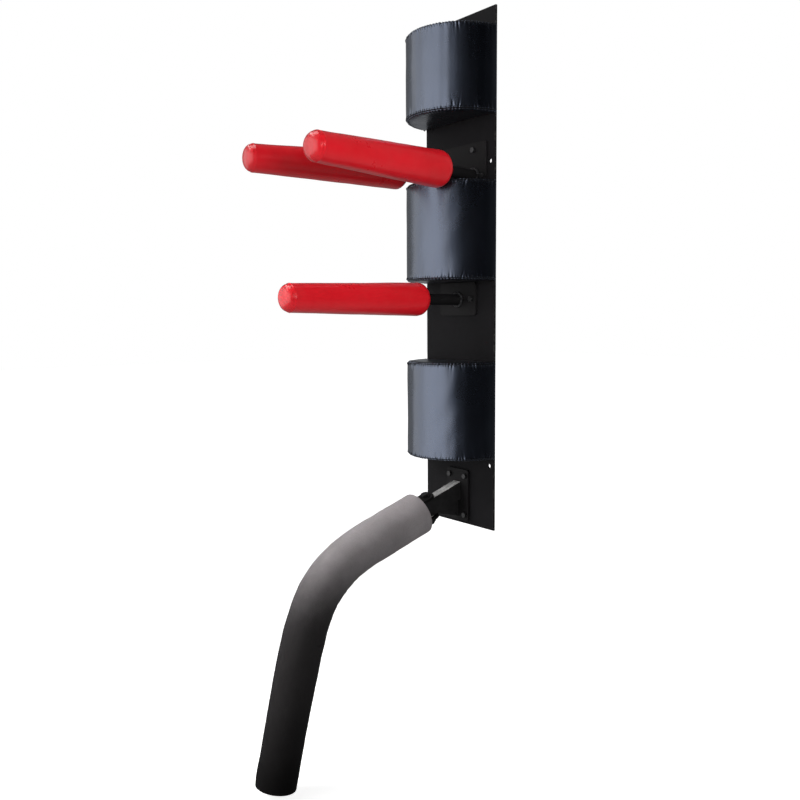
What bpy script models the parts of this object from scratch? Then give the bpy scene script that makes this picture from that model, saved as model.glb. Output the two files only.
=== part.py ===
"""Wall-mounted half-body wing dummy: a steel back board with three half-round
padded cushions, three padded arms on steel posts, and a bent padded leg that
swings on a fork and bolt.

Metres, +Z up. The origin is the centre of the board's back face, +Y points out
of the back towards the wall, and the arms and leg reach forward along -Y.
"h" below is a height above the board's bottom edge, and "f" is a distance
forward of the board's front face.
"""

import math

import bmesh
import bpy
from mathutils import Matrix, Vector

# ---------------------------------------------------------------- dimensions
GAP = 0.0003          # clearance kept between touching pieces
SLACK = 0.0004        # clearance between layers of padding

BOARD_W = 0.200
BOARD_H = 1.000
BOARD_T = 0.004
WALL_HOLE_R = 0.00425
WALL_HOLE_X = 0.087
WALL_HOLE_H = (0.717, 0.128)

# half-round cushions: (name, bottom h, top h)
CUSHIONS = (
    ("top", 0.8043, 0.9637),
    ("middle", 0.4918, 0.6793),
    ("lower", 0.1435, 0.3330),
)
CUSHION_R = 0.1056
COVER_T = 0.0020
COVER_LIP_X = 0.084   # the cover's return lips reach in this far behind the padding
CORE_R = 0.080
ARC_STEPS = 28
CORE_SCREW_DH = 0.045  # screws sit this far above and below a cushion's middle
SCREW_R = 0.0025
SCREW_HEAD_R = 0.0045
SCREW_LEN = 0.040

# brackets that carry the arms: plate width, bottom h, top h, thickness
PLATE_T = 0.004
UPPER_PLATE = (0.160, 0.6800, 0.7560)
MIDDLE_PLATE = (0.104, 0.4240, 0.4890)
UPPER_BOLTS = ((-0.0445, 0.7425), (0.0445, 0.7425), (-0.0690, 0.6905), (0.0690, 0.6905))
MIDDLE_BOLTS = ((-0.0390, 0.4565), (0.0390, 0.4565))
BOLT_R = 0.0030
BOLT_HEAD_R = 0.0058
BOLT_HEAD_H = 0.0040

# arms: (name, root x, root h, splay in degrees, sleeve start, sleeve end, base radius, tip radius)
ARMS = (
    ("upper_left", -0.0444, 0.7059, -8.35, 0.0950, 0.4244, 0.0350, 0.0247),
    ("upper_right", 0.0444, 0.6940, 8.35, 0.0950, 0.4244, 0.0350, 0.0247),
    ("middle", 0.0, 0.4556, 0.0, 0.0921, 0.4119, 0.0324, 0.0250),
)
SLEEVE_T = 0.0020
SLEEVE_BASE_ROUND = 0.0210
SLEEVE_TIP_ROUND = 0.0170
POST_R = 0.0110
POST_BORE_R = 0.0085
POST_END = 0.172
WELD_R = 0.0130
WELD_H = 0.0040
ARM_CORE_BASE_R = 0.0190
ARM_CORE_TIP_R = 0.0130
ARM_PIN_R = 0.0024
ARM_PIN_S = 0.150

# leg: pivot place, slopes below the horizontal, and lengths along its centre line
LEG_SLOPE = 17.84
LEG_PIVOT_F = 0.0842
LEG_PIVOT_H = 0.0426
LEG_FOAM_START = 0.0275   # from the pivot axis to the foam's upper end
LEG_LEN = 0.6164          # centre line of the foam, end to end
LEG_TURN = 57.08          # how far the bend turns it down
LEG_BEND_START = 0.0985
LEG_BEND_END = 0.3863
LEG_BEND_EASE = 0.120     # curvature grows and fades over this length
LEG_SAG = 3.2             # the lower half curves by this much more
LEG_FOAM_R0 = 0.0419
LEG_FOAM_R1 = 0.0372
LEG_TUBE_R = 0.0190
LEG_TUBE_BORE_R = 0.0165
LEG_TUBE_SHORT = 0.0080   # the tube stops this far inside the foam
LEG_STEPS = 20
LEG_SIDES = 16

# fork, lug and pivot bolt
LUG_W = 0.020
LUG_HALF_H = 0.0170
GUSSET_T = 0.008
LUG_BORE_R = 0.00516
FORK_W = 0.034
FORK_IN = 0.0188
FORK_OUT = 0.0238
FORK_BASE = (0.0190, 0.0240)
PIVOT_R = 0.0050
PIVOT_HEAD_R = 0.0092
PIVOT_HEAD_H = 0.0064
NUT_H = 0.0080
NUT_TAIL = 0.0050
LEG_PLATE = (0.064, 0.006, 0.112)
LEG_PLATE_T = 0.005
LEG_BOLTS = ((-0.0225, 0.019), (0.0225, 0.019), (-0.0225, 0.099), (0.0225, 0.099))


# ------------------------------------------------------------------- helpers
def clear_scene():
    for obj in list(bpy.data.objects):
        bpy.data.objects.remove(obj, do_unlink=True)


def material(name, colour, roughness, metallic=0.0):
    mat = bpy.data.materials.new(name)
    mat.use_nodes = True
    shader = mat.node_tree.nodes["Principled BSDF"]
    shader.inputs["Base Color"].default_value = (*colour, 1.0)
    shader.inputs["Roughness"].default_value = roughness
    shader.inputs["Metallic"].default_value = metallic
    mat.diffuse_color = (*colour, 1.0)
    return mat


def world(x, f, h):
    """World point from x, distance forward of the board's front face, and height on the board."""
    return Vector((x, -BOARD_T - f, h - BOARD_H / 2))


def empty(name, location, rotation):
    obj = bpy.data.objects.new(name, None)
    obj.empty_display_size = 0.03
    obj.location = location
    obj.rotation_euler = rotation
    bpy.context.scene.collection.objects.link(obj)
    return obj


def make(name, bm, mat, parent=None, location=(0, 0, 0), rotation=(0, 0, 0), smooth=True):
    bmesh.ops.recalc_face_normals(bm, faces=bm.faces)
    mesh = bpy.data.meshes.new(name)
    bm.to_mesh(mesh)
    bm.free()
    if smooth:
        mesh.shade_smooth()
        mesh.set_sharp_from_angle(angle=math.radians(35))
    obj = bpy.data.objects.new(name, mesh)
    obj.location = location
    obj.rotation_euler = rotation
    bpy.context.scene.collection.objects.link(obj)
    if mat:
        mesh.materials.append(mat)
    obj.parent = parent
    return obj


def as_cutter(obj):
    obj.hide_render = True
    obj.display_type = "WIRE"
    return obj


def boolean(obj, other, operation="DIFFERENCE"):
    mod = obj.modifiers.new(operation.lower() + "_" + other.name, "BOOLEAN")
    mod.operation = operation
    mod.solver = "EXACT"
    mod.object = other


def lathe(profile, sides, turn=0.0, hexagon=()):
    """Closed surface of revolution about Z from a closed (radius, z) loop.

    Two neighbouring points on the axis are not joined. The indices in hexagon
    are drawn as a hexagon, which needs sides to be a multiple of six.
    """
    bm = bmesh.new()
    rings = []
    for i, (r, z) in enumerate(profile):
        if r < 1e-9:
            rings.append([bm.verts.new((0, 0, z))])
            continue
        ring = []
        for k in range(sides):
            a = 2 * math.pi * k / sides + turn
            rr = r
            if i in hexagon:
                off = (2 * math.pi * k / sides + math.pi / 6) % (math.pi / 3) - math.pi / 6
                rr = r * math.cos(math.pi / 6) / math.cos(math.pi / 6 - abs(off))
            ring.append(bm.verts.new((rr * math.cos(a), rr * math.sin(a), z)))
        rings.append(ring)
    for a, b in zip(rings, rings[1:] + rings[:1]):
        if len(a) == 1 and len(b) == 1:
            continue
        for k in range(sides):
            n = (k + 1) % sides
            if len(a) == 1:
                bm.faces.new((a[0], b[k], b[n]))
            elif len(b) == 1:
                bm.faces.new((a[k], a[n], b[0]))
            else:
                bm.faces.new((a[k], a[n], b[n], b[k]))
    return bm


def prism(outline, z0, z1, add_to=None):
    """Straight extrusion of a flat outline between two heights."""
    bm = add_to or bmesh.new()
    low = [bm.verts.new((x, y, z0)) for x, y in outline]
    high = [bm.verts.new((x, y, z1)) for x, y in outline]
    bm.faces.new(low)
    bm.faces.new(high)
    n = len(outline)
    for i in range(n):
        j = (i + 1) % n
        bm.faces.new((low[i], low[j], high[j], high[i]))
    return bm


def turned(bm, matrix):
    bmesh.ops.transform(bm, matrix=matrix, verts=bm.verts)
    return bm


def rod(r, z0, z1, sides):
    return lathe([(0, z0), (r, z0), (r, z1), (0, z1)], sides)


def merge_into(target, source):
    """Adds a copy of source's faces to target and frees source."""
    index = {v: target.verts.new(v.co) for v in source.verts}
    for face in source.faces:
        target.faces.new([index[v] for v in face.verts])
    source.free()
    return target


TO_FRONT = Matrix.Rotation(math.radians(90), 4, "X")   # local Z becomes forward, local Y becomes up


# ----------------------------------------------------------------- materials
clear_scene()
BLACK_STEEL = material("black_powder_coat", (0.012, 0.012, 0.014), 0.42, 0.2)
DARK_STEEL = material("blackened_steel", (0.02, 0.02, 0.022), 0.35, 0.8)
ZINC = material("zinc_plated_steel", (0.55, 0.56, 0.58), 0.30, 1.0)
LEATHER = material("slate_black_leather", (0.022, 0.025, 0.034), 0.30)
RED_VINYL = material("red_vinyl", (0.62, 0.010, 0.018), 0.25)
FOAM_GREY = material("grey_foam_rubber", (0.085, 0.078, 0.080), 0.85)
FOAM_WHITE = material("padding_foam", (0.55, 0.53, 0.48), 0.95)
WOOD = material("hardwood", (0.42, 0.25, 0.12), 0.55)
NYLON = material("white_nylon", (0.75, 0.74, 0.70), 0.45)
PLUG = material("black_plastic", (0.02, 0.02, 0.02), 0.5)


# --------------------------------------------------------------------- board
def board():
    bm = bmesh.new()
    bmesh.ops.create_cube(bm, size=1.0)
    bmesh.ops.scale(bm, vec=(BOARD_W, BOARD_T, BOARD_H), verts=bm.verts)
    obj = make("back_board", bm, BLACK_STEEL, location=(0, -BOARD_T / 2, 0), smooth=False)

    holes = bmesh.new()
    for h in WALL_HOLE_H:
        for x in (-WALL_HOLE_X, WALL_HOLE_X):
            one = turned(rod(WALL_HOLE_R, -0.003, BOARD_T + 0.003, 16), TO_FRONT)
            merge_into(holes, turned(one, Matrix.Translation((x, 0, h - BOARD_H / 2))))
    for _, h0, h1 in CUSHIONS:
        for dh in (-CORE_SCREW_DH, CORE_SCREW_DH):
            r, big = SCREW_R + 0.0004, SCREW_HEAD_R + 0.0004
            sink = lathe([(0, -0.002), (big, -0.002), (big, 0.0), (r, 0.0026), (r, 0.007), (0, 0.007)], 10)
            merge_into(holes, turned(turned(sink, TO_FRONT), Matrix.Translation((0, 0, (h0 + h1) / 2 + dh - BOARD_H / 2))))
    for x, h in UPPER_BOLTS + MIDDLE_BOLTS + LEG_BOLTS:
        one = turned(rod(BOLT_R + 0.0004, -0.003, BOARD_T + 0.003, 8), TO_FRONT)
        merge_into(holes, turned(one, Matrix.Translation((x, 0, h - BOARD_H / 2))))
    boolean(obj, as_cutter(make("board_hole_cutter", holes, None)))
    return obj


# ------------------------------------------------------------------ cushions
def half_round(radius, f0):
    """Points of a half circle, from +x round the front to -x, cut off at f0."""
    edge = math.sqrt(radius * radius - f0 * f0)
    points = [(edge, -f0)]
    for k in range(1, ARC_STEPS):
        a = math.pi * k / ARC_STEPS
        points.append((radius * math.cos(a), -radius * math.sin(a)))
    points.append((-edge, -f0))
    return points


def cushion(name, h0, h1):
    base = empty("cushion_" + name, world(0, 0, (h0 + h1) / 2), (0, 0, 0))
    half = (h1 - h0) / 2
    prefix = "cushion_" + name + "_"

    # leather wrap: a half-round shell whose two back lips are folded in behind the padding
    outer = half_round(CUSHION_R, GAP)
    inner = half_round(CUSHION_R - COVER_T, GAP + COVER_T)
    lip_in = [(-COVER_LIP_X, -GAP), (-COVER_LIP_X, -GAP - COVER_T)]
    lip_out = [(COVER_LIP_X, -GAP - COVER_T), (COVER_LIP_X, -GAP)]
    shell_half = half - COVER_T - GAP
    make(prefix + "cover", prism(outer + lip_in + inner[::-1] + lip_out, -shell_half, shell_half), LEATHER, base)

    # D-shaped end panels
    for side, word in ((1, "upper"), (-1, "lower")):
        z = sorted((side * half, side * (half - COVER_T)))
        make(prefix + word + "_panel", prism(half_round(CUSHION_R, GAP), z[0], z[1]), LEATHER, base)

    # foam half shell on a solid half-round wooden core
    f0 = GAP + COVER_T + SLACK
    fill = shell_half - GAP
    foam_out = half_round(CUSHION_R - COVER_T - SLACK, f0)
    foam_in = half_round(CORE_R + SLACK, f0)
    make(prefix + "foam", prism(foam_out + foam_in[::-1], -fill, fill), FOAM_WHITE, base)
    core = make(prefix + "core", prism(half_round(CORE_R, f0), -fill, fill), WOOD, base)

    pilot = bmesh.new()
    for dh in (-CORE_SCREW_DH, CORE_SCREW_DH):
        one = turned(rod(SCREW_R + 0.0003, -0.004, SCREW_LEN - BOARD_T + 0.001, 12), TO_FRONT)
        merge_into(pilot, turned(one, Matrix.Translation((0, 0, dh))))
    boolean(core, as_cutter(make(prefix + "pilot_cutter", pilot, None, base)))

    for dh, word in ((CORE_SCREW_DH, "upper"), (-CORE_SCREW_DH, "lower")):
        body = lathe(
            [
                (0, 0.0003), (SCREW_HEAD_R, 0.0003), (SCREW_R, 0.0026), (SCREW_R, SCREW_LEN - 0.006),
                (0.0004, SCREW_LEN), (0, SCREW_LEN),
            ],
            12,
        )
        make(prefix + word + "_screw", body, ZINC, base, location=(0, BOARD_T, dh), rotation=(math.radians(90), 0, 0))


# ------------------------------------------------------------------ brackets
def plate(name, width, h0, h1, thickness, bolts, corner):
    """A flat bracket with rounded corners, and the hexagon bolts that hold it to the board."""
    x, z = width / 2, (h1 - h0) / 2
    outline = []
    for cx, cz, a0 in ((x - corner, z - corner, 0), (-x + corner, z - corner, 90), (-x + corner, -z + corner, 180), (x - corner, -z + corner, 270)):
        for k in range(4):
            a = math.radians(a0 + 30 * k)
            outline.append((cx + corner * math.cos(a), cz + corner * math.sin(a)))
    middle = (h0 + h1) / 2
    base = empty(name + "_place", world(0, GAP, middle), (math.radians(90), 0, 0))
    obj = make(name, prism(outline, 0, thickness), BLACK_STEEL, base)
    holes = bmesh.new()
    for bx, bh in bolts:
        merge_into(holes, turned(rod(BOLT_R + 0.0004, -0.002, thickness + 0.002, 8), Matrix.Translation((bx, bh - middle, 0))))
    boolean(obj, as_cutter(make(name + "_hole_cutter", holes, None, base)))
    for i, (bx, bh) in enumerate(bolts, 1):
        under = thickness + GAP
        tail = -GAP - BOARD_T + 0.0003
        body = lathe(
            [
                (0, tail), (BOLT_R, tail), (BOLT_R, under), (BOLT_HEAD_R, under), (BOLT_HEAD_R, under + BOLT_HEAD_H * 0.85),
                (BOLT_HEAD_R * 0.86, under + BOLT_HEAD_H), (0, under + BOLT_HEAD_H),
            ],
            12, hexagon=(3, 4),
        )
        make("%s_bolt_%d" % (name, i), body, DARK_STEEL, base, location=(bx, bh - middle, 0))
    return obj


# ---------------------------------------------------------------------- arms
def arm(name, x, h, splay, s0, s1, r0, r1):
    base = empty("arm_" + name, world(x, 0, h), (math.radians(90), 0, math.radians(splay)))
    prefix = "arm_" + name + "_"
    sides = 18

    def rounded_ends(s0_, s1_, r0_, r1_, inset, start_r, steps):
        points = [(start_r, s0_ + inset)]
        b, t = SLEEVE_BASE_ROUND - inset, SLEEVE_TIP_ROUND - inset
        lo, hi = s0_ + inset, s1_ - inset
        length = s1_ - s0_

        def wall(s):
            return r0_ + (r1_ - r0_) * (s - s0_) / length - inset

        for k in range(steps + 1):
            a = math.pi / 2 * k / steps
            s = lo + b * (1 - math.cos(a))
            points.append((wall(s) - b * (1 - math.sin(a)), s))
        for k in range(steps + 1):
            a = math.pi / 2 * k / steps
            s = hi - t * (1 - math.sin(a))
            points.append((wall(s) - t * (1 - math.cos(a)), s))
        points.append((0, hi))
        return points

    # red outer sleeve, open at its base where the post goes in
    mouth = POST_R + 0.0010
    outside = rounded_ends(s0, s1, r0, r1, 0.0, mouth, 4)
    inside = rounded_ends(s0, s1, r0, r1, SLEEVE_T, mouth, 4)
    make(prefix + "sleeve", lathe(outside + inside[::-1], sides), RED_VINYL, base)

    # foam between the sleeve and the wooden core
    def core_r(s):
        return ARM_CORE_BASE_R + (ARM_CORE_TIP_R - ARM_CORE_BASE_R) * (s - s0) / (s1 - s0)

    core_lo, core_hi = s0 + 0.0100, s1 - 0.0150
    foam_out = rounded_ends(s0, s1, r0, r1, SLEEVE_T + SLACK, core_r(s0) + SLACK, 4)[1:]
    foam_out = [p for p in foam_out if p[0] > core_r(s0) + 0.001 or p[1] > (s0 + s1) / 2]
    foam_lo = foam_out[0][1]
    cavity = [(0, core_hi + SLACK), (core_r(core_hi) + SLACK, core_hi + SLACK), (core_r(foam_lo) + SLACK, foam_lo)]
    make(prefix + "padding", lathe(foam_out + cavity, sides), FOAM_WHITE, base)

    # turned wooden core, bored for the post
    core = make(
        prefix + "core",
        lathe(
            [
                (POST_R + SLACK, core_lo), (core_r(core_lo), core_lo), (core_r(core_hi), core_hi - 0.003),
                (core_r(core_hi) - 0.003, core_hi), (0, core_hi), (0, POST_END + 0.002), (POST_R + SLACK, POST_END + 0.002),
            ],
            sides,
        ),
        WOOD, base,
    )

    # steel post with its weld bead, cut flush with the bracket
    post = make(
        prefix + "post",
        lathe(
            [
                (WELD_R, -0.004), (WELD_R, PLATE_T + 0.0012), (POST_R, PLATE_T + WELD_H + 0.0012), (POST_R, POST_END),
                (POST_BORE_R, POST_END), (POST_BORE_R, 0.020), (0, 0.020), (0, -0.004),
            ],
            sides,
        ),
        BLACK_STEEL, base,
    )
    block = bmesh.new()
    bmesh.ops.create_cube(block, size=0.08)
    trim = make(prefix + "post_trim_cutter", block, None, location=world(x, PLATE_T + 2 * GAP - 0.040, h))
    boolean(post, as_cutter(trim))

    # cross pin through core and post
    drill = as_cutter(make(prefix + "pin_cutter", turned(rod(ARM_PIN_R + SLACK, -0.026, 0.026, 12), TO_FRONT), None, base, location=(0, 0, ARM_PIN_S)))
    boolean(core, drill)
    boolean(post, drill)
    reach = core_r(ARM_PIN_S) - 0.0008
    make(prefix + "pin", turned(rod(ARM_PIN_R, -reach, reach, 12), TO_FRONT), ZINC, base, location=(0, 0, ARM_PIN_S))


# ----------------------------------------------------------------------- leg
def ramp(x, ease):
    """Integral of a step that is softened over ease."""
    if x <= 0:
        return 0.0
    return x * x / (2 * ease) if x < ease else x - ease / 2


def leg_turn(s):
    """How far, in radians, the centre line has turned down at s along the foam."""
    bent = ramp(s - LEG_BEND_START, LEG_BEND_EASE) - ramp(s - (LEG_BEND_END - LEG_BEND_EASE), LEG_BEND_EASE)
    turn = LEG_TURN * bent / (LEG_BEND_END - LEG_BEND_START - LEG_BEND_EASE)
    if s > LEG_BEND_END:
        turn += LEG_SAG * (s - LEG_BEND_END) / (LEG_LEN - LEG_BEND_END)
    return math.radians(turn)


def leg_line(s_from, s_to, steps):
    """(y, z, turn) in the pivot's frame at even steps along the centre line."""
    fine = 0.0005
    y, z, s = -LEG_FOAM_START, 0.0, 0.0
    if s_from < 0:
        y -= s_from
        s = s_from
    wanted = [s_from + (s_to - s_from) * k / steps for k in range(steps + 1)]
    found = []
    for w in wanted:
        while s < w - 1e-12:
            d = min(fine, w - s)
            a = leg_turn(s + d / 2)
            y -= math.cos(a) * d
            z -= math.sin(a) * d
            s += d
        found.append((y, z, leg_turn(w)))
    return found


def swept_tube(line, outer, inner, sides):
    """A hollow tube along the centre line; outer and inner give the radii at each of its points."""
    bm = bmesh.new()
    shells = []
    for radii in (outer, inner):
        rings = []
        for (y, z, a), r in zip(line, radii):
            ring = []
            for k in range(sides):
                t = 2 * math.pi * (k + 0.5) / sides
                across, up = r * math.cos(t), r * math.sin(t)
                ring.append(bm.verts.new((across, y - up * math.sin(a), z + up * math.cos(a))))
            rings.append(ring)
        shells.append(rings)
    for rings in shells:
        for a, b in zip(rings, rings[1:]):
            for k in range(sides):
                n = (k + 1) % sides
                bm.faces.new((a[k], a[n], b[n], b[k]))
    for end in (0, -1):
        a, b = shells[0][end], shells[1][end]
        for k in range(sides):
            n = (k + 1) % sides
            bm.faces.new((a[k], a[n], b[n], b[k]))
    return bm


def leg():
    pivot_at = world(0, LEG_PIVOT_F, LEG_PIVOT_H)
    tilt = (math.radians(LEG_SLOPE), 0, 0)
    fixed = empty("leg_lug_place", pivot_at, tilt)
    pivot = empty("leg_pivot", pivot_at, tilt)

    # lug: a bar that slopes down from the board, rounded about the bolt, with a gusset under it
    plan = [(LUG_W / 2, 0.12), (-LUG_W / 2, 0.12)]
    plan += [(LUG_W / 2 * math.cos(math.pi + math.pi * k / 10), LUG_W / 2 * math.sin(math.pi + math.pi * k / 10)) for k in range(11)]
    lug = make("leg_lug", prism(plan, -LUG_HALF_H, LUG_HALF_H), BLACK_STEEL, fixed)

    slope = math.radians(LEG_SLOPE)
    wall_f = LEG_PLATE_T + 2 * GAP

    def local(f, h):
        """(y, z) in the pivot's frame of a point at f forward and h high on the centre plane."""
        dy, dz = -(f - LEG_PIVOT_F), h - LEG_PIVOT_H
        return dy * math.cos(slope) + dz * math.sin(slope), -dy * math.sin(slope) + dz * math.cos(slope)

    web = [(0.0195, -LUG_HALF_H + 0.004), (0.0195, -LUG_HALF_H - 0.0055), local(wall_f - 0.01, 0.0115), local(wall_f - 0.01, 0.062)]
    gusset = prism([(y, z) for y, z in web], -GUSSET_T / 2, GUSSET_T / 2)
    # the outline lies in the pivot's YZ plane, so its own Z turns to X
    turned(gusset, Matrix(((0, 0, 1, 0), (1, 0, 0, 0), (0, 1, 0, 0), (0, 0, 0, 1))))
    gusset_obj = as_cutter(make("leg_gusset_union", gusset, None, fixed))
    boolean(lug, gusset_obj, "UNION")
    block = bmesh.new()
    bmesh.ops.create_cube(block, size=0.3)
    trim = as_cutter(make("leg_lug_trim_cutter", block, None, location=world(0, wall_f - 0.15, LEG_PIVOT_H)))
    boolean(lug, trim)
    bore = as_cutter(make("leg_lug_bore_cutter", rod(LUG_BORE_R, -0.03, 0.03, 24), None, fixed))
    boolean(lug, bore)

    # fork on the leg: a U seen from the side, rounded about the bolt seen from above
    y0, y1 = -FORK_BASE[1], -FORK_BASE[0]
    u = [(0.018, FORK_OUT), (y0, FORK_OUT), (y0, -FORK_OUT), (0.018, -FORK_OUT), (0.018, -FORK_IN), (y1, -FORK_IN), (y1, FORK_IN), (0.018, FORK_IN)]
    sides = prism(u, -FORK_W / 2 - 0.002, FORK_W / 2 + 0.002)
    turned(sides, Matrix(((0, 0, 1, 0), (1, 0, 0, 0), (0, 1, 0, 0), (0, 0, 0, 1))))
    fork = make("leg_fork", sides, BLACK_STEEL, pivot)
    top = [(FORK_W / 2, -0.04)]
    top += [(FORK_W / 2 * math.cos(math.pi * k / 14), FORK_W / 2 * math.sin(math.pi * k / 14)) for k in range(15)]
    top += [(-FORK_W / 2, -0.04)]
    boolean(fork, as_cutter(make("leg_fork_plan_cutter", prism(top, -0.05, 0.05), None, pivot)), "INTERSECT")
    boolean(fork, as_cutter(make("leg_fork_bore_cutter", rod(PIVOT_R + 0.00016, -0.06, 0.06, 24), None, pivot)))

    # bolt, nut and the two washers between lug and fork
    head, tail = FORK_OUT + GAP, -FORK_OUT - GAP - NUT_H - NUT_TAIL
    bolt = lathe(
        [
            (0, tail), (PIVOT_R - 0.001, tail), (PIVOT_R, tail + 0.001), (PIVOT_R, head), (PIVOT_HEAD_R, head),
            (PIVOT_HEAD_R, head + PIVOT_HEAD_H * 0.85), (PIVOT_HEAD_R * 0.87, head + PIVOT_HEAD_H), (0, head + PIVOT_HEAD_H),
        ],
        12, hexagon=(4, 5),
    )
    make("leg_pivot_bolt", bolt, DARK_STEEL, pivot)
    nut_top = -FORK_OUT - GAP
    nut = lathe(
        [(PIVOT_R + 0.0004, nut_top), (PIVOT_HEAD_R, nut_top), (PIVOT_HEAD_R, nut_top - NUT_H), (PIVOT_R + 0.0004, nut_top - NUT_H)],
        12, hexagon=(1, 2),
    )
    make("leg_pivot_nut", nut, DARK_STEEL, pivot)
    for side, word in ((1, "upper"), (-1, "lower")):
        z = sorted((side * (LUG_HALF_H + GAP), side * (FORK_IN - GAP)))
        ring = lathe([(PIVOT_R + 0.0003, z[0]), (0.0095, z[0]), (0.0095, z[1]), (PIVOT_R + 0.0003, z[1])], 16)
        make("leg_%s_washer" % word, ring, NYLON, pivot)

    # bent steel tube, its foam and its end plug
    tube_from = FORK_BASE[1] + GAP - LEG_FOAM_START
    tube_to = LEG_LEN - LEG_TUBE_SHORT
    line = leg_line(tube_from, tube_to, LEG_STEPS)
    make("leg_tube", swept_tube(line, [LEG_TUBE_R] * len(line), [LEG_TUBE_BORE_R] * len(line), 12), BLACK_STEEL, pivot)
    line = leg_line(0.0, LEG_LEN, LEG_STEPS)
    radii = [LEG_FOAM_R0 + (LEG_FOAM_R1 - LEG_FOAM_R0) * k / LEG_STEPS for k in range(LEG_STEPS + 1)]
    bore_r = (LEG_TUBE_R + 0.0009) / math.cos(math.pi / LEG_SIDES)
    make("leg_foam", swept_tube(line, radii, [bore_r] * len(line), LEG_SIDES), FOAM_GREY, pivot)
    y, z, a = leg_line(0.0, tube_to, LEG_STEPS)[-1]
    plug = lathe(
        [(0, GAP), (LEG_TUBE_R, GAP), (LEG_TUBE_R, GAP + 0.002), (LEG_TUBE_R - 0.001, GAP + 0.003), (0, GAP + 0.003)],
        16,
    )
    make("leg_end_plug", plug, PLUG, pivot, location=(0, y, z), rotation=(math.radians(90) + a, 0, 0))
    # spigot of the plug, inside the tube's mouth
    spigot = as_cutter(make("leg_plug_spigot_union", rod(LEG_TUBE_BORE_R - 0.0008, -0.014, GAP + 0.001, 16), None, pivot, location=(0, y, z), rotation=(math.radians(90) + a, 0, 0)))
    boolean(bpy.data.objects["leg_end_plug"], spigot, "UNION")


board()
for spec in CUSHIONS:
    cushion(*spec)
plate("upper_arm_bracket", *UPPER_PLATE, PLATE_T, UPPER_BOLTS, 0.006)
plate("middle_arm_bracket", *MIDDLE_PLATE, PLATE_T, MIDDLE_BOLTS, 0.006)
for spec in ARMS:
    arm(*spec)
plate("leg_bracket", *LEG_PLATE, LEG_PLATE_T, LEG_BOLTS, 0.006)
leg()
bpy.context.view_layer.update()
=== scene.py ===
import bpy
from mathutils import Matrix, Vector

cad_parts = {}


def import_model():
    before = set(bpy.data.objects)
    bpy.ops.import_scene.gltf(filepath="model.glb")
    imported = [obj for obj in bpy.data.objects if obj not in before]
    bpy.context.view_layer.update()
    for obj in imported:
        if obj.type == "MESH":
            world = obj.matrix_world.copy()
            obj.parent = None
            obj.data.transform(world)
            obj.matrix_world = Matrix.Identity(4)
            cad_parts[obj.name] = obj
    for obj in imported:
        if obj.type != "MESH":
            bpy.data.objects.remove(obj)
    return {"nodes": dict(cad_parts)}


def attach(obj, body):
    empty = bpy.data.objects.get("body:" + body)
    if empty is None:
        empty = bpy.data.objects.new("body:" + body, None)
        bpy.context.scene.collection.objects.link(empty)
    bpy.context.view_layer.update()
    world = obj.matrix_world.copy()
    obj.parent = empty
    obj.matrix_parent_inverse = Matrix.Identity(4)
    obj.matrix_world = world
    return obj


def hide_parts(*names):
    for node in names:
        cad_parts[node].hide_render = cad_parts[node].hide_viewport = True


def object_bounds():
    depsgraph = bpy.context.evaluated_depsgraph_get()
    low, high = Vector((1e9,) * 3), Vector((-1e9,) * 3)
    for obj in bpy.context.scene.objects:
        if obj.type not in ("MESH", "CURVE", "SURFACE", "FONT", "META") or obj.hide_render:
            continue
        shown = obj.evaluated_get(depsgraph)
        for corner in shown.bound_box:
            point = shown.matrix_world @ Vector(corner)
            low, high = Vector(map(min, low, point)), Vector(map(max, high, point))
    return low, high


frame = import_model()
cad_box = [[float(c) for c in corner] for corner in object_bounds()]

import math

import bpy
import numpy as np
from mathutils import Matrix, Vector

scene = bpy.context.scene
nodes = frame["nodes"]
rng = np.random.default_rng(7)

# ------------------------------------------------------------- dimensions, as in the CAD source
GAP = 0.0003
BOARD_T = 0.004
BOARD_H = 1.000
CUSHIONS = (("top", 0.8043, 0.9637), ("middle", 0.4918, 0.6793), ("lower", 0.1435, 0.3330))
CUSHION_R = 0.1056
COVER_LIP_X = 0.084
CORE_R = 0.080
ARMS = (
    ("upper_left", -0.0444, 0.7059, -8.35, 0.0950, 0.4244, 0.0350, 0.0247),
    ("upper_right", 0.0444, 0.6940, 8.35, 0.0950, 0.4244, 0.0350, 0.0247),
    ("middle", 0.0, 0.4556, 0.0, 0.0921, 0.4119, 0.0324, 0.0250),
)
SLEEVE_T = 0.0020
SLEEVE_BASE_ROUND = 0.0210
SLEEVE_TIP_ROUND = 0.0170
POST_R = 0.0110
ARM_CORE_BASE_R, ARM_CORE_TIP_R = 0.0190, 0.0130
LEG_SLOPE = 17.84
LEG_PIVOT_F, LEG_PIVOT_H = 0.0842, 0.0426
LEG_FOAM_START = 0.0275
LEG_LEN = 0.6164
LEG_TURN = 57.08
LEG_BEND_START, LEG_BEND_END, LEG_BEND_EASE = 0.0985, 0.3863, 0.120
LEG_SAG = 3.2
LEG_FOAM_R0, LEG_FOAM_R1 = 0.0419, 0.0372
LEG_BORE_R = 0.0200


def world(x, f, h):
    return np.array((x, -BOARD_T - f, h - BOARD_H / 2))


# ------------------------------------------------------------------------------- small helpers
def smooth(t):
    t = np.clip(t, 0.0, 1.0)
    return t * t * (3 - 2 * t)


def wobble(points, scale, seed, octaves=2):
    """Smooth noise between -1 and 1 at points, made from sines in seeded directions."""
    gen = np.random.default_rng(seed)
    points = np.asarray(points, float)
    total, norm = np.zeros(points.shape[0]), 0.0
    for o in range(octaves):
        for _ in range(7):
            d = gen.normal(size=3)
            d /= np.linalg.norm(d)
            f = 2 * math.pi / scale * (2 ** o) * gen.uniform(0.7, 1.35)
            total += np.sin(points @ d * f + gen.uniform(0, 2 * math.pi)) * 0.5 ** o
        norm += 0.5 ** o
    return total / (norm * 2.65)


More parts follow.
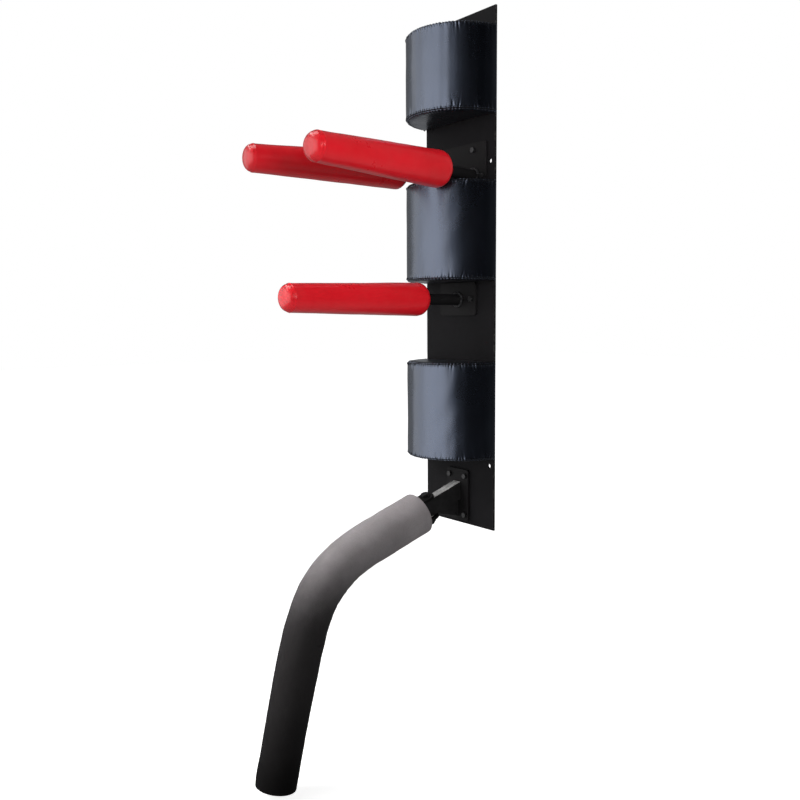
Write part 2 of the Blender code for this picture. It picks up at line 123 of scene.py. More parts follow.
def grid_faces(rows, cols, close_cols=False, flip=False, start=0):
    faces = []
    last = cols if close_cols else cols - 1
    for i in range(rows - 1):
        for j in range(last):
            k = (j + 1) % cols
            q = (start + i * cols + j, start + i * cols + k, start + (i + 1) * cols + k, start + (i + 1) * cols + j)
            faces.append(q[::-1] if flip else q)
    return faces


def mesh_object(name, verts, faces, mat, body, replaces=(), smooth_shade=True, sharp=None):
    mesh = bpy.data.meshes.new(name)
    mesh.from_pydata([tuple(map(float, v)) for v in verts], [], [tuple(int(i) for i in f) for f in faces])
    mesh.update()
    if smooth_shade:
        mesh.shade_smooth()
        if sharp:
            mesh.set_sharp_from_angle(angle=math.radians(sharp))
    mesh.materials.append(mat)
    obj = bpy.data.objects.new(name, mesh)
    scene.collection.objects.link(obj)
    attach(obj, body)
    if replaces:
        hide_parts(*replaces)
    return obj


def thicken(obj, thickness):
    mod = obj.modifiers.new("thickness", "SOLIDIFY")
    mod.thickness = thickness
    mod.offset = -1.0
    mod.use_even_offset = False
    return obj


def cloth_swell(verts, faces, pinned, pressure, frames, cap, stiffness=25.0):
    """Swells a skin with Blender's cloth under inner pressure, and returns how far each point moved, at most cap."""
    verts = np.asarray(verts, float)
    mesh = bpy.data.meshes.new("swell")
    mesh.from_pydata([tuple(map(float, v)) for v in verts], [], faces)
    mesh.update()
    obj = bpy.data.objects.new("swell", mesh)
    scene.collection.objects.link(obj)
    group = obj.vertex_groups.new(name="pin")
    group.add([int(i) for i in np.nonzero(pinned)[0]], 1.0, "REPLACE")
    mod = obj.modifiers.new("cloth", "CLOTH")
    st = mod.settings
    st.quality = 6
    st.mass = 0.35
    st.tension_stiffness = stiffness
    st.compression_stiffness = stiffness
    st.shear_stiffness = stiffness * 0.5
    st.bending_stiffness = 1.5
    st.tension_damping = 8
    st.use_pressure = True
    st.uniform_pressure_force = pressure
    st.effector_weights.gravity = 0.0
    st.vertex_group_mass = "pin"
    mod.collision_settings.use_collision = False
    mod.point_cache.frame_start = 1
    mod.point_cache.frame_end = frames
    for f in range(1, frames + 1):
        scene.frame_set(f)
    dg = bpy.context.evaluated_depsgraph_get()
    now = obj.evaluated_get(dg).to_mesh()
    after = np.zeros(len(verts) * 3)
    now.vertices.foreach_get("co", after)
    obj.evaluated_get(dg).to_mesh_clear()
    bpy.data.objects.remove(obj, do_unlink=True)
    bpy.data.meshes.remove(mesh)
    scene.frame_set(1)
    moved = after.reshape(-1, 3) - verts
    moved[~np.isfinite(moved).all(1)] = 0.0
    size = np.linalg.norm(moved, axis=1)
    soft_cap = cap * np.tanh(size / cap)
    return moved * (soft_cap / np.maximum(size, 1e-12))[:, None]


# ------------------------------------------------------------------------------------ materials
class Shader:
    """A Principled material built from nodes."""

    def __init__(self, name, **constants):
        self.mat = bpy.data.materials.new(name)
        self.mat.use_nodes = True
        self.nt = self.mat.node_tree
        self.p = self.nt.nodes["Principled BSDF"]
        for key, value in constants.items():
            self.p.inputs[key.replace("_", " ")].default_value = value
        self.coord = self.nt.nodes.new("ShaderNodeTexCoord").outputs["Object"]

    def node(self, kind, inputs=None, **props):
        n = self.nt.nodes.new(kind)
        for key, value in props.items():
            setattr(n, key, value)
        for key, value in (inputs or {}).items():
            self.put(n.inputs[key], value)
        return n

    def put(self, socket, value):
        if isinstance(value, bpy.types.NodeSocket):
            self.nt.links.new(value, socket)
        else:
            socket.default_value = value

    def noise(self, scale, detail=3.0, rough=0.55, coord=None, distortion=0.0):
        return self.node("ShaderNodeTexNoise", {"Vector": coord or self.coord, "Scale": scale, "Detail": detail, "Roughness": rough, "Distortion": distortion}).outputs["Fac"]

    def cells(self, scale, feature="F1", coord=None, randomness=1.0, smoothness=None):
        n = self.node("ShaderNodeTexVoronoi", {"Vector": coord or self.coord, "Scale": scale, "Randomness": randomness}, feature=feature)
        if smoothness is not None and "Smoothness" in n.inputs:
            n.inputs["Smoothness"].default_value = smoothness
        return n.outputs["Distance"]

    def scaled(self, scale, rotation=(0, 0, 0), location=(0, 0, 0)):
        return self.node("ShaderNodeMapping", {"Vector": self.coord, "Scale": scale, "Rotation": rotation, "Location": location}).outputs["Vector"]

    def remap(self, value, a, b, c, d, curve="LINEAR"):
        return self.node("ShaderNodeMapRange", {"Value": value, "From Min": a, "From Max": b, "To Min": c, "To Max": d}, interpolation_type=curve, clamp=True).outputs["Result"]

    def math(self, op, a, b=0.0, clamp=False):
        n = self.node("ShaderNodeMath", operation=op, use_clamp=clamp)
        self.put(n.inputs[0], a)
        self.put(n.inputs[1], b)
        return n.outputs["Value"]

    def mix(self, fac, a, b, blend="MIX"):
        n = self.node("ShaderNodeMix", data_type="RGBA", blend_type=blend, clamp_factor=True)
        self.put(n.inputs[0], fac)
        self.put(n.inputs[6], a if isinstance(a, bpy.types.NodeSocket) else (*a, 1.0))
        self.put(n.inputs[7], b if isinstance(b, bpy.types.NodeSocket) else (*b, 1.0))
        return n.outputs[2]

    def xyz(self, coord=None):
        n = self.node("ShaderNodeSeparateXYZ", {"Vector": coord or self.coord})
        return n.outputs["X"], n.outputs["Y"], n.outputs["Z"]

    def bump(self, *layers):
        """layers: (height socket, depth in metres)"""
        normal = None
        for height, depth in layers:
            n = self.node("ShaderNodeBump", {"Height": height, "Strength": 1.0, "Distance": depth})
            if normal is not None:
                self.nt.links.new(normal, n.inputs["Normal"])
            normal = n.outputs["Normal"]
        self.nt.links.new(normal, self.p.inputs["Normal"])
        return self

    def colour(self, value):
        self.put(self.p.inputs["Base Color"], value)
        return self

    def rough(self, value):
        self.put(self.p.inputs["Roughness"], value)
        return self


def leather(name, base, light):
    s = Shader(name, Specular_IOR_Level=1.0, Coat_Weight=0.85, Coat_Roughness=0.24)
    s.p.inputs["Specular Tint"].default_value = (0.58, 0.70, 1.0, 1.0)
    s.p.inputs["Coat Tint"].default_value = (0.86, 0.92, 1.0, 1.0)
    pebble = s.cells(760, "SMOOTH_F1", smoothness=0.35)
    fine = s.noise(2600, 3)
    cloud = s.noise(9, 4, 0.6)
    tension = s.noise(60, 2, 0.5, s.scaled((1, 1, 0.12)))
    tone = s.math("MULTIPLY", cloud, tension)
    c = s.mix(s.remap(tone, 0.12, 0.42, 0, 1), base, light)
    c = s.mix(s.remap(pebble, 0.0, 0.55, 0.55, 0.0), c, tuple(0.45 * v for v in base))
    scuff = s.remap(s.noise(140, 5, 0.7, s.scaled((1, 1, 0.35))), 0.66, 0.80, 0, 0.35)
    c = s.mix(scuff, c, tuple(min(1, 2.4 * v + 0.004) for v in light))
    s.colour(c)
    r = s.math("ADD", s.remap(cloud, 0.3, 0.7, 0.24, 0.32), s.remap(pebble, 0.0, 0.5, 0.05, 0.0))
    s.rough(s.math("ADD", r, s.math("MULTIPLY", scuff, 0.35)))
    s.bump((tension, 0.00022), (pebble, 0.00015), (fine, 0.00003))
    return s.mat


def red_vinyl(name, seed):
    s = Shader(name, Specular_IOR_Level=0.32, Coat_Weight=0.35, Coat_Roughness=0.07)
    place = s.scaled((1, 1, 1), location=(seed * 3.1, seed * 1.7, seed * 0.9))
    cloud = s.noise(7, 4, 0.6, place)
    ripple = s.noise(30, 3, 0.5, place)
    grain = s.noise(1500, 3, 0.5, place)
    c = s.mix(s.remap(cloud, 0.35, 0.68, 0, 1), (0.74, 0.010, 0.020), (0.66, 0.008, 0.015))
    grime = s.remap(s.noise(15, 4, 0.5, place), 0.50, 0.85, 0, 0.35)
    c = s.mix(grime, c, (0.42, 0.018, 0.018))
    worn = s.remap(s.noise(55, 2, 0.4, place), 0.35, 0.75, 0, 0.10)
    c = s.mix(worn, c, (0.80, 0.06, 0.06))
    s.colour(c)
    r = s.remap(s.noise(18, 4, 0.6, place), 0.35, 0.70, 0.26, 0.38)
    s.rough(s.math("ADD", r, s.math("MULTIPLY", grime, 0.3)))
    s.bump((ripple, 0.0002), (grain, 0.00002))
    return s.mat


def leg_foam_material():
    s = Shader("grey_foam_rubber", Specular_IOR_Level=0.05)
    x, y, z = s.xyz()
    pores = s.cells(1150, "F1")
    small = s.cells(2900, "F1")
    cloud = s.noise(14, 5, 0.65)
    # painted light and shade: pale grey where the bend faces up, near black lower down, a colour gradient by height
    # standing in for light falling from above
    stops = ((-0.925, .0045), (-0.88, .0080), (-0.845, .0150), (-0.78, .0230), (-0.70, .0300), (-0.65, .031), (-0.62, .038), (-0.59, .068), (-0.55, .155), (-0.50, .270), (-0.455, .330))
    tone = s.node("ShaderNodeValToRGB", {"Fac": s.remap(s.math("ADD", z, s.remap(cloud, 0.3, 0.7, -0.006, 0.006)), -0.925, -0.455, 0.0, 1.0)})
    tone.color_ramp.interpolation = "B_SPLINE"
    band = tone.color_ramp.elements
    band[0].position, band[1].position = 0.0, 1.0
    for k, (level, v) in enumerate(stops):
        e = band[0] if k == 0 else band[len(band) - 1] if k == len(stops) - 1 else band.new((level + 0.925) / 0.470)
        e.color = (v, v * 0.930, v * 0.950, 1.0)
    # the painted light-and-shade gradient, used as the foam's base colour
    painted_light_shade_tone = tone.outputs["Color"]
    c = s.mix(s.remap(cloud, 0.30, 0.72, 0.0, 1.0), s.mix(1.0, painted_light_shade_tone, (0.92, 0.92, 0.92), "MULTIPLY"), s.mix(1.0, painted_light_shade_tone, (1.07, 1.07, 1.07), "MULTIPLY"))
    c = s.mix(s.remap(pores, 0.05, 0.35, 0.45, 0.0), c, (0.010, 0.009, 0.010))
    scuff = s.remap(s.noise(95, 6, 0.75, s.scaled((1, 1, 0.5))), 0.66, 0.78, 0, 0.30)
    c = s.mix(scuff, c, s.mix(1.0, painted_light_shade_tone, (1.9, 1.85, 1.85), "MULTIPLY"))
    s.colour(c)
    s.rough(s.remap(cloud, 0.3, 0.7, 0.78, 0.92))
    s.bump((cloud, 0.0007), (pores, 0.00022), (small, 0.00008))
    return s.mat


def powder_coat(name, base=(0.0082, 0.0079, 0.0087), edge=None, rough=(0.58, 0.72), spec=0.05):
    s = Shader(name, Specular_IOR_Level=spec)
    peel = s.cells(1000, "SMOOTH_F1", smoothness=0.8)
    cloud = s.noise(11, 5, 0.6)
    c = s.mix(s.remap(cloud, 0.32, 0.70, 0, 1), base, tuple(v * 1.55 for v in base))
    scratch_a = s.noise(900, 2, 0.4, s.scaled((1.0, 1.0, 0.035), rotation=(0, 0.5, 0.2)))
    scratch_b = s.noise(700, 2, 0.4, s.scaled((0.04, 1.0, 1.0), rotation=(0.2, -0.4, 0)))
    patch = s.remap(s.noise(16, 3), 0.52, 0.66, 0, 1)
    lines = s.math("MULTIPLY", s.math("MAXIMUM", s.remap(scratch_a, 0.70, 0.74, 0, 1), s.remap(scratch_b, 0.71, 0.75, 0, 1)), patch)
    c = s.mix(s.math("MULTIPLY", lines, 0.40), c, (0.034, 0.034, 0.037))
    dust = s.remap(s.noise(75, 6, 0.75), 0.60, 0.78, 0, 0.22)
    c = s.mix(dust, c, (0.026, 0.025, 0.025))
    worn = 0.0
    if edge:
        # paint rubbed through along the board's long edges
        x, y, z = s.xyz()
        near = s.remap(s.math("ABSOLUTE", x), edge - 0.0022, edge - 0.0002, 0, 1, "SMOOTHSTEP")
        bites = s.remap(s.noise(130, 5, 0.7), 0.50, 0.62, 0, 1)
        worn = s.math("MULTIPLY", near, bites)
        c = s.mix(s.math("MULTIPLY", worn, 0.55), c, (0.11, 0.108, 0.105))
    s.colour(c)
    r = s.remap(cloud, 0.3, 0.7, rough[0], rough[1])
    r = s.math("SUBTRACT", r, s.math("MULTIPLY", lines, 0.12))
    s.rough(r)
    if edge:
        s.put(s.p.inputs["Metallic"], s.math("MULTIPLY", worn, 0.7))
    s.bump((cloud, 0.0002), (peel, 0.00010))
    return s.mat


def worn_steel(name, base, bright, amount, rough=(0.32, 0.5), metallic=0.85, axis=(0.03, 1, 1), brushed=1200):
    """Dark steel whose coating is rubbed bright in patches and along its machining marks."""
    s = Shader(name, Metallic=metallic)
    cloud = s.noise(120, 5, 0.65)
    marks = s.noise(brushed, 2, 0.5, s.scaled(axis))
    c = s.mix(s.remap(cloud, 0.3, 0.7, 0, 1), base, tuple(v * 1.8 for v in base))
    rub = s.math("MULTIPLY", s.remap(s.noise(260, 5, 0.7), 0.44, 0.64, 0, 1), amount)
    c = s.mix(rub, c, bright)
    c = s.mix(s.remap(marks, 0.56, 0.72, 0, 0.4), c, tuple(min(1.0, v * 1.25) for v in bright))
    rust = s.remap(s.noise(340, 5, 0.7), 0.70, 0.80, 0, 0.35)
    c = s.mix(rust, c, (0.075, 0.032, 0.014))
    s.colour(c)
    s.rough(s.math("ADD", s.remap(cloud, 0.3, 0.7, rough[0], rough[1]), s.math("MULTIPLY", rust, 0.8)))
    s.bump((marks, 0.00006), (cloud, 0.00010))
    return s.mat


def lug_steel():
    """Black bar whose faces that point up are coloured pale bare steel: a painted highlight along its top."""
    s = Shader("black_steel_painted_top_highlight", Specular_IOR_Level=0.45)
    up = s.xyz(s.node("ShaderNodeTexCoord").outputs["Normal"])[2]
    cloud = s.noise(90, 5, 0.65)
    marks = s.noise(1500, 3, 0.5, s.scaled((1.0, 0.05, 0.05)))
    paint = s.mix(s.remap(cloud, 0.3, 0.7, 0, 1), (0.008, 0.0075, 0.008), (0.020, 0.019, 0.020))
    painted_highlight_steel = s.mix(s.remap(marks, 0.35, 0.65, 0, 1), (0.36, 0.355, 0.35), (0.66, 0.65, 0.645))
    # painted highlight: faces that point up get the pale bare-steel colour, lighter because the light falls on the top
    top = s.remap(up, 0.80, 0.93, 0, 1)
    rub = s.math("MULTIPLY", top, s.remap(s.noise(150, 5, 0.7), 0.34, 0.50, 0.55, 1))
    s.colour(s.mix(rub, paint, painted_highlight_steel))
    s.put(s.p.inputs["Metallic"], s.math("MULTIPLY", rub, 0.25))
    s.rough(s.remap(rub, 0, 1, 0.55, 0.34))
    s.bump((marks, 0.00008), (cloud, 0.00015))
    return s.mat


def wood(name, along):
    s = Shader(name, Specular_IOR_Level=0.3)
    stretch = [60.0, 60.0, 60.0]
    stretch[along] = 3.0
    grain = s.noise(1.0, 6, 0.6, s.scaled(tuple(stretch)), 1.2)
    rings = s.node("ShaderNodeTexWave", {"Vector": s.scaled(tuple(v * 0.9 for v in stretch)), "Scale": 0.55, "Distortion": 5.0, "Detail": 3.0, "Detail Scale": 1.2}, wave_type="RINGS").outputs["Fac"]
    fibre = [900.0, 900.0, 900.0]
    fibre[along] = 25.0
    pores = s.noise(1.0, 3, 0.6, s.scaled(tuple(fibre)))
    c = s.mix(grain, (0.36, 0.205, 0.095), (0.56, 0.36, 0.19))
    c = s.mix(s.math("MULTIPLY", rings, 0.5), c, (0.25, 0.125, 0.055))
    c = s.mix(s.remap(pores, 0.62, 0.75, 0, 0.7), c, (0.12, 0.06, 0.03))
    s.colour(c)
    s.rough(s.remap(grain, 0.3, 0.7, 0.50, 0.68))
    s.bump((pores, 0.00012), (grain, 0.0003))
    return s.mat


def inner_foam(name):
    s = Shader(name, Specular_IOR_Level=0.2)
    cell = s.cells(620, "F1")
    tiny = s.cells(1900, "F1")
    cloud = s.noise(25, 4, 0.6)
    c = s.mix(s.remap(cloud, 0.3, 0.7, 0, 1), (0.60, 0.56, 0.44), (0.74, 0.71, 0.60))
    c = s.mix(s.remap(cell, 0.05, 0.38, 0.6, 0), c, (0.30, 0.27, 0.19))
    s.colour(c)
    s.rough(s.remap(cloud, 0.3, 0.7, 0.88, 1.0))
    s.bump((cell, 0.00055), (tiny, 0.0002))
    return s.mat


def plastic(name, base, rough, spec=0.45, grain=900):
    s = Shader(name, Specular_IOR_Level=spec)
    cloud = s.noise(90, 4, 0.6)
    tex = s.cells(grain, "SMOOTH_F1", smoothness=0.6)
    c = s.mix(s.remap(cloud, 0.3, 0.7, 0, 1), base, tuple(min(1, v * 1.25 + 0.004) for v in base))
    mark = s.remap(s.noise(300, 5, 0.7), 0.66, 0.78, 0, 0.4)
    c = s.mix(mark, c, tuple(v * 0.55 + 0.02 for v in base))
    s.colour(c)
    s.rough(s.math("ADD", s.remap(cloud, 0.3, 0.7, rough - 0.05, rough + 0.08), s.math("MULTIPLY", mark, 0.2)))
    s.bump((tex, 0.00010), (cloud, 0.00010))
    return s.mat


def thread(name, base):
    s = Shader(name, Specular_IOR_Level=0.12)
    twist = s.node("ShaderNodeTexWave", {"Vector": s.scaled((1, 1, 1), rotation=(0.6, 0.5, 0.4)), "Scale": 420.0, "Distortion": 1.0, "Detail": 1.0}).outputs["Fac"]
    fuzz = s.noise(2500, 3, 0.6)
    s.colour(s.mix(twist, tuple(v * 0.6 for v in base), tuple(v * 1.4 for v in base)))
    s.rough(s.remap(fuzz, 0.3, 0.7, 0.55, 0.8))
    s.bump((twist, 0.00015), (fuzz, 0.00005))
    return s.mat


LEATHER = leather("slate_black_leather", (0.0024, 0.0026, 0.0034), (0.0046, 0.0049, 0.0064))
LEATHER_END = leather("slate_black_leather_ends", (0.0060, 0.0060, 0.0068), (0.0120, 0.0120, 0.0135))
THREAD = thread("black_polyester_thread", (0.0045, 0.0046, 0.0055))
REDS = {"upper_left": red_vinyl("red_vinyl_a", 1), "upper_right": red_vinyl("red_vinyl_b", 2), "middle": red_vinyl("red_vinyl_c", 3)}
LEG_FOAM = leg_foam_material()
BOARD_PAINT = powder_coat("black_powder_coat_board", edge=0.100)
PLATE_PAINT = powder_coat("black_powder_coat_plates", base=(0.0075, 0.0071, 0.0075), rough=(0.50, 0.64), spec=0.08)
POST_PAINT = powder_coat("black_powder_coat_posts", base=(0.0065, 0.0062, 0.0065), rough=(0.40, 0.55), spec=0.14)
FORK_STEEL = powder_coat("black_painted_fork", base=(0.0050, 0.0046, 0.0048), rough=(0.40, 0.55), spec=0.22)
LUG_STEEL = lug_steel()
BOLT_STEEL = worn_steel("blackened_bolt_steel", (0.010, 0.010, 0.011), (0.095, 0.093, 0.092), 0.22, metallic=0.55)
ZINC = worn_steel("zinc_plated_steel", (0.42, 0.43, 0.45), (0.66, 0.66, 0.66), 0.6, rough=(0.24, 0.36), metallic=1.0)
WELD = worn_steel("painted_weld", (0.012, 0.012, 0.013), (0.07, 0.07, 0.072), 0.25, rough=(0.4, 0.6), metallic=0.4)
WOOD_UP = wood("hardwood_upright", 2)
WOOD_OUT = wood("hardwood_turned", 1)
INNER_FOAM = inner_foam("cream_padding_foam")
NYLON = plastic("white_nylon_washer", (0.62, 0.61, 0.56), 0.42)
PLUG = plastic("black_plastic_plug", (0.016, 0.016, 0.017), 0.48)


# -------------------------------------------------------------------------------------- cushions
RIM = 0.0048            # radius of the rolled rim
CORNER = 0.0022         # radius of the two back corners
SWELL_IN = 0.0005       # the skin starts this far inside its final size, and the padding swells it out
SEAM_V = 1.60           # where on the rolled rim the seam lies
PANEL_CENTRE = np.array((0.0, 0.040))


class Outline:
    """The closed D seen from above, in (x, f), with its outward normals and its own length."""

    def __init__(self, radius, f0, corner):
        pts, nrm = [], []

        def add(x, f, nx, nf):
            pts.append((x, f))
            nrm.append((nx, nf))

        edge = radius - corner
        for x in np.linspace(-edge, edge, 80)[:-1]:
            add(x, f0, 0, -1)
        for a in np.linspace(-math.pi / 2, 0, 14)[:-1]:
            add(edge + corner * math.cos(a), f0 + corner + corner * math.sin(a), math.cos(a), math.sin(a))
        t0 = math.asin((f0 + corner) / radius)
        for t in np.linspace(t0, math.pi - t0, 460):
            add(radius * math.cos(t), radius * math.sin(t), math.cos(t), math.sin(t))
        for a in np.linspace(math.pi, 1.5 * math.pi, 14)[1:-1]:
            add(-edge + corner * math.cos(a), f0 + corner + corner * math.sin(a), math.cos(a), math.sin(a))
        add(-edge, f0, 0, -1)
        self.p, self.n = np.array(pts), np.array(nrm)
        step = np.linalg.norm(np.diff(self.p, axis=0), axis=1)
        self.u = np.concatenate([[0.0], np.cumsum(step)])
        self.length = self.u[-1]
        self.back = 2 * edge                                  # u from 0 to here is the flat back
        self.lip_end = (COVER_LIP_X + edge)                   # where the wrap's lip starts on the +x side
        arc0, arc1 = self.u[92], self.u[92 + 459]
        self.arc0, self.arc1 = arc0, arc1

    def at(self, u):
        p = np.stack([np.interp(u, self.u, self.p[:, i]) for i in (0, 1)], 1)
        n = np.stack([np.interp(u, self.u, self.n[:, i]) for i in (0, 1)], 1)
        return p, n / np.linalg.norm(n, axis=1)[:, None]

    def taper(self, u):
        """0 at the back and its corners, 1 over the round front."""
        return smooth((np.minimum(u - self.arc0, self.arc1 - u) - 0.002) / 0.020)

    def rim_scale(self, u):
        """1 along the round front, less at the corners and the back, where the wrap is pulled tight."""
        inside = np.minimum(u - self.arc0, self.arc1 - u)
        return 0.62 + 0.38 * smooth((inside + 0.004) / 0.022)


OUT = Outline(CUSHION_R, GAP, CORNER)


def cushion_point(u, v, half, grow=0.0):
    """Points of a cushion's skin: v runs 0-1 over the upper panel, 1-2 over the rim, 2-3 down the wall, 3-4 and 4-5 below."""
    p, n = OUT.at(u)
    rho = RIM * OUT.rim_scale(u)
    grow = grow * OUT.taper(u)
    low = v > 2.5
    w = 5.0 - v if low else v
    if w <= 1.0:
        q = p - n * (rho - grow)[:, None]
        xy = PANEL_CENTRE + (q - PANEL_CENTRE) * w
        z = np.full(len(u), half)
    elif w <= 2.0:
        b = (w - 1.0) * math.pi / 2
        xy = p - n * (rho * (1 - math.sin(b)) - grow)[:, None]
        z = half - rho * (1 - math.cos(b))
    else:
        xy = p + n * grow[:, None]
        z = (half - rho) * (5.0 - 2 * w)
    if low and w > 2.0:
        z = np.abs(z)
    if low:
        z = -z
    return np.stack([xy[:, 0], xy[:, 1], z], 1)


def to_row(local, mid_h):
    return np.stack([local[:, 0], -BOARD_T - local[:, 1], local[:, 2] + mid_h - BOARD_H / 2], 1)


def swelling(half):
    """Cloth run on a coarse skin of the whole cushion; gives movement as functions of (u, v)."""
    front = np.linspace(OUT.arc0, OUT.arc1, 64)
    us = np.concatenate([np.linspace(0, OUT.back, 26)[:-1], np.linspace(OUT.back, OUT.arc0, 4)[:-1], front, np.linspace(OUT.arc1, OUT.length, 4)[1:-1]])
    wall_rows = max(20, int(round(2 * half / 0.006)))
    vs = np.concatenate([np.linspace(0.12, 1.0, 13)[:-1], np.linspace(1, 2, 4)[:-1], np.linspace(2, 3, wall_rows)[:-1], np.linspace(3, 4, 4)[:-1], np.linspace(4, 4.88, 13)])
    rows = [cushion_point(us, v, half - SWELL_IN * 0.5, -SWELL_IN) for v in vs]
    verts = np.concatenate(rows)
    n = len(us)
    faces = grid_faces(len(vs), n, close_cols=True)
    faces.append(tuple(range(n))[::-1])
    faces.append(tuple((len(vs) - 1) * n + j for j in range(n)))
    verts3 = np.stack([verts[:, 0], -verts[:, 1], verts[:, 2]], 1)
    a, b, c = (verts3[i] for i in faces[len(faces) // 2][:3])
    # faces point out when the wall's normal leaves the middle
    out = np.cross(b - a, c - a) @ (a - verts3.mean(0))
    if out < 0:
        faces = [f[::-1] for f in faces]
    vv, uu = np.repeat(vs, n), np.tile(us, len(vs))
    pinned = (np.abs(vv - 1) < 0.05) | (np.abs(vv - 4) < 0.05) | (uu < OUT.back + 0.003) | (uu > OUT.arc1 + 0.001)
    moved = cloth_swell(verts3, faces, pinned, 4.0, 20, 0.0045)
    moved = moved.reshape(len(vs), n, 3)
    for _ in range(2):                                        # take out the coarse skin's facets
        moved[1:-1] = (moved[:-2] + 2 * moved[1:-1] + moved[2:]) / 4
        moved = (np.roll(moved, 1, 1) + 2 * moved + np.roll(moved, -1, 1)) / 4

    def movement(u, v):
        j = np.clip(np.searchsorted(vs, v) - 1, 0, len(vs) - 2)
        t = np.clip((v - vs[j]) / (vs[j + 1] - vs[j]), 0, 1)
        line = moved[j] * (1 - t) + moved[j + 1] * t
        ring_u = np.concatenate([us, [OUT.length]])
        ring = np.concatenate([line, line[:1]])
        return np.stack([np.interp(u, ring_u, ring[:, i]) for i in range(3)], 1)

    return movement


def pleats(seed, pitch=0.0068):
    """Places, depths and lengths of the gathers along a rim, as arc length from the front's start."""
    gen = np.random.default_rng(seed)
    places, x = [], OUT.arc0 + 0.006
    while x < OUT.arc1 - 0.006:
        places.append((x, gen.uniform(0.35, 1.25), gen.uniform(0.0050, 0.0135), gen.uniform(-0.28, 0.28)))
        x += pitch * gen.uniform(0.84, 1.18)
    return places


def gathered(u, d, places, depth):
    """How far the skin sinks at arc length u and distance d from the seam."""
    d = np.broadcast_to(np.asarray(d, float), u.shape)
    sink = np.zeros_like(u)
    for x, strong, reach, lean in places:
        off = u - (x + lean * d)
        near = np.abs(off) < 0.006
        if not near.any():
            continue
        off, dn = off[near], d[near]
        width = 0.00125 + 0.05 * dn
        fade = np.exp(-(dn / reach) ** 1.6)
        sink[near] += strong * depth * fade * (np.exp(-(off / width) ** 2) - 0.22 * np.exp(-((np.abs(off) - 0.0030) / 0.0016) ** 2))
    return sink


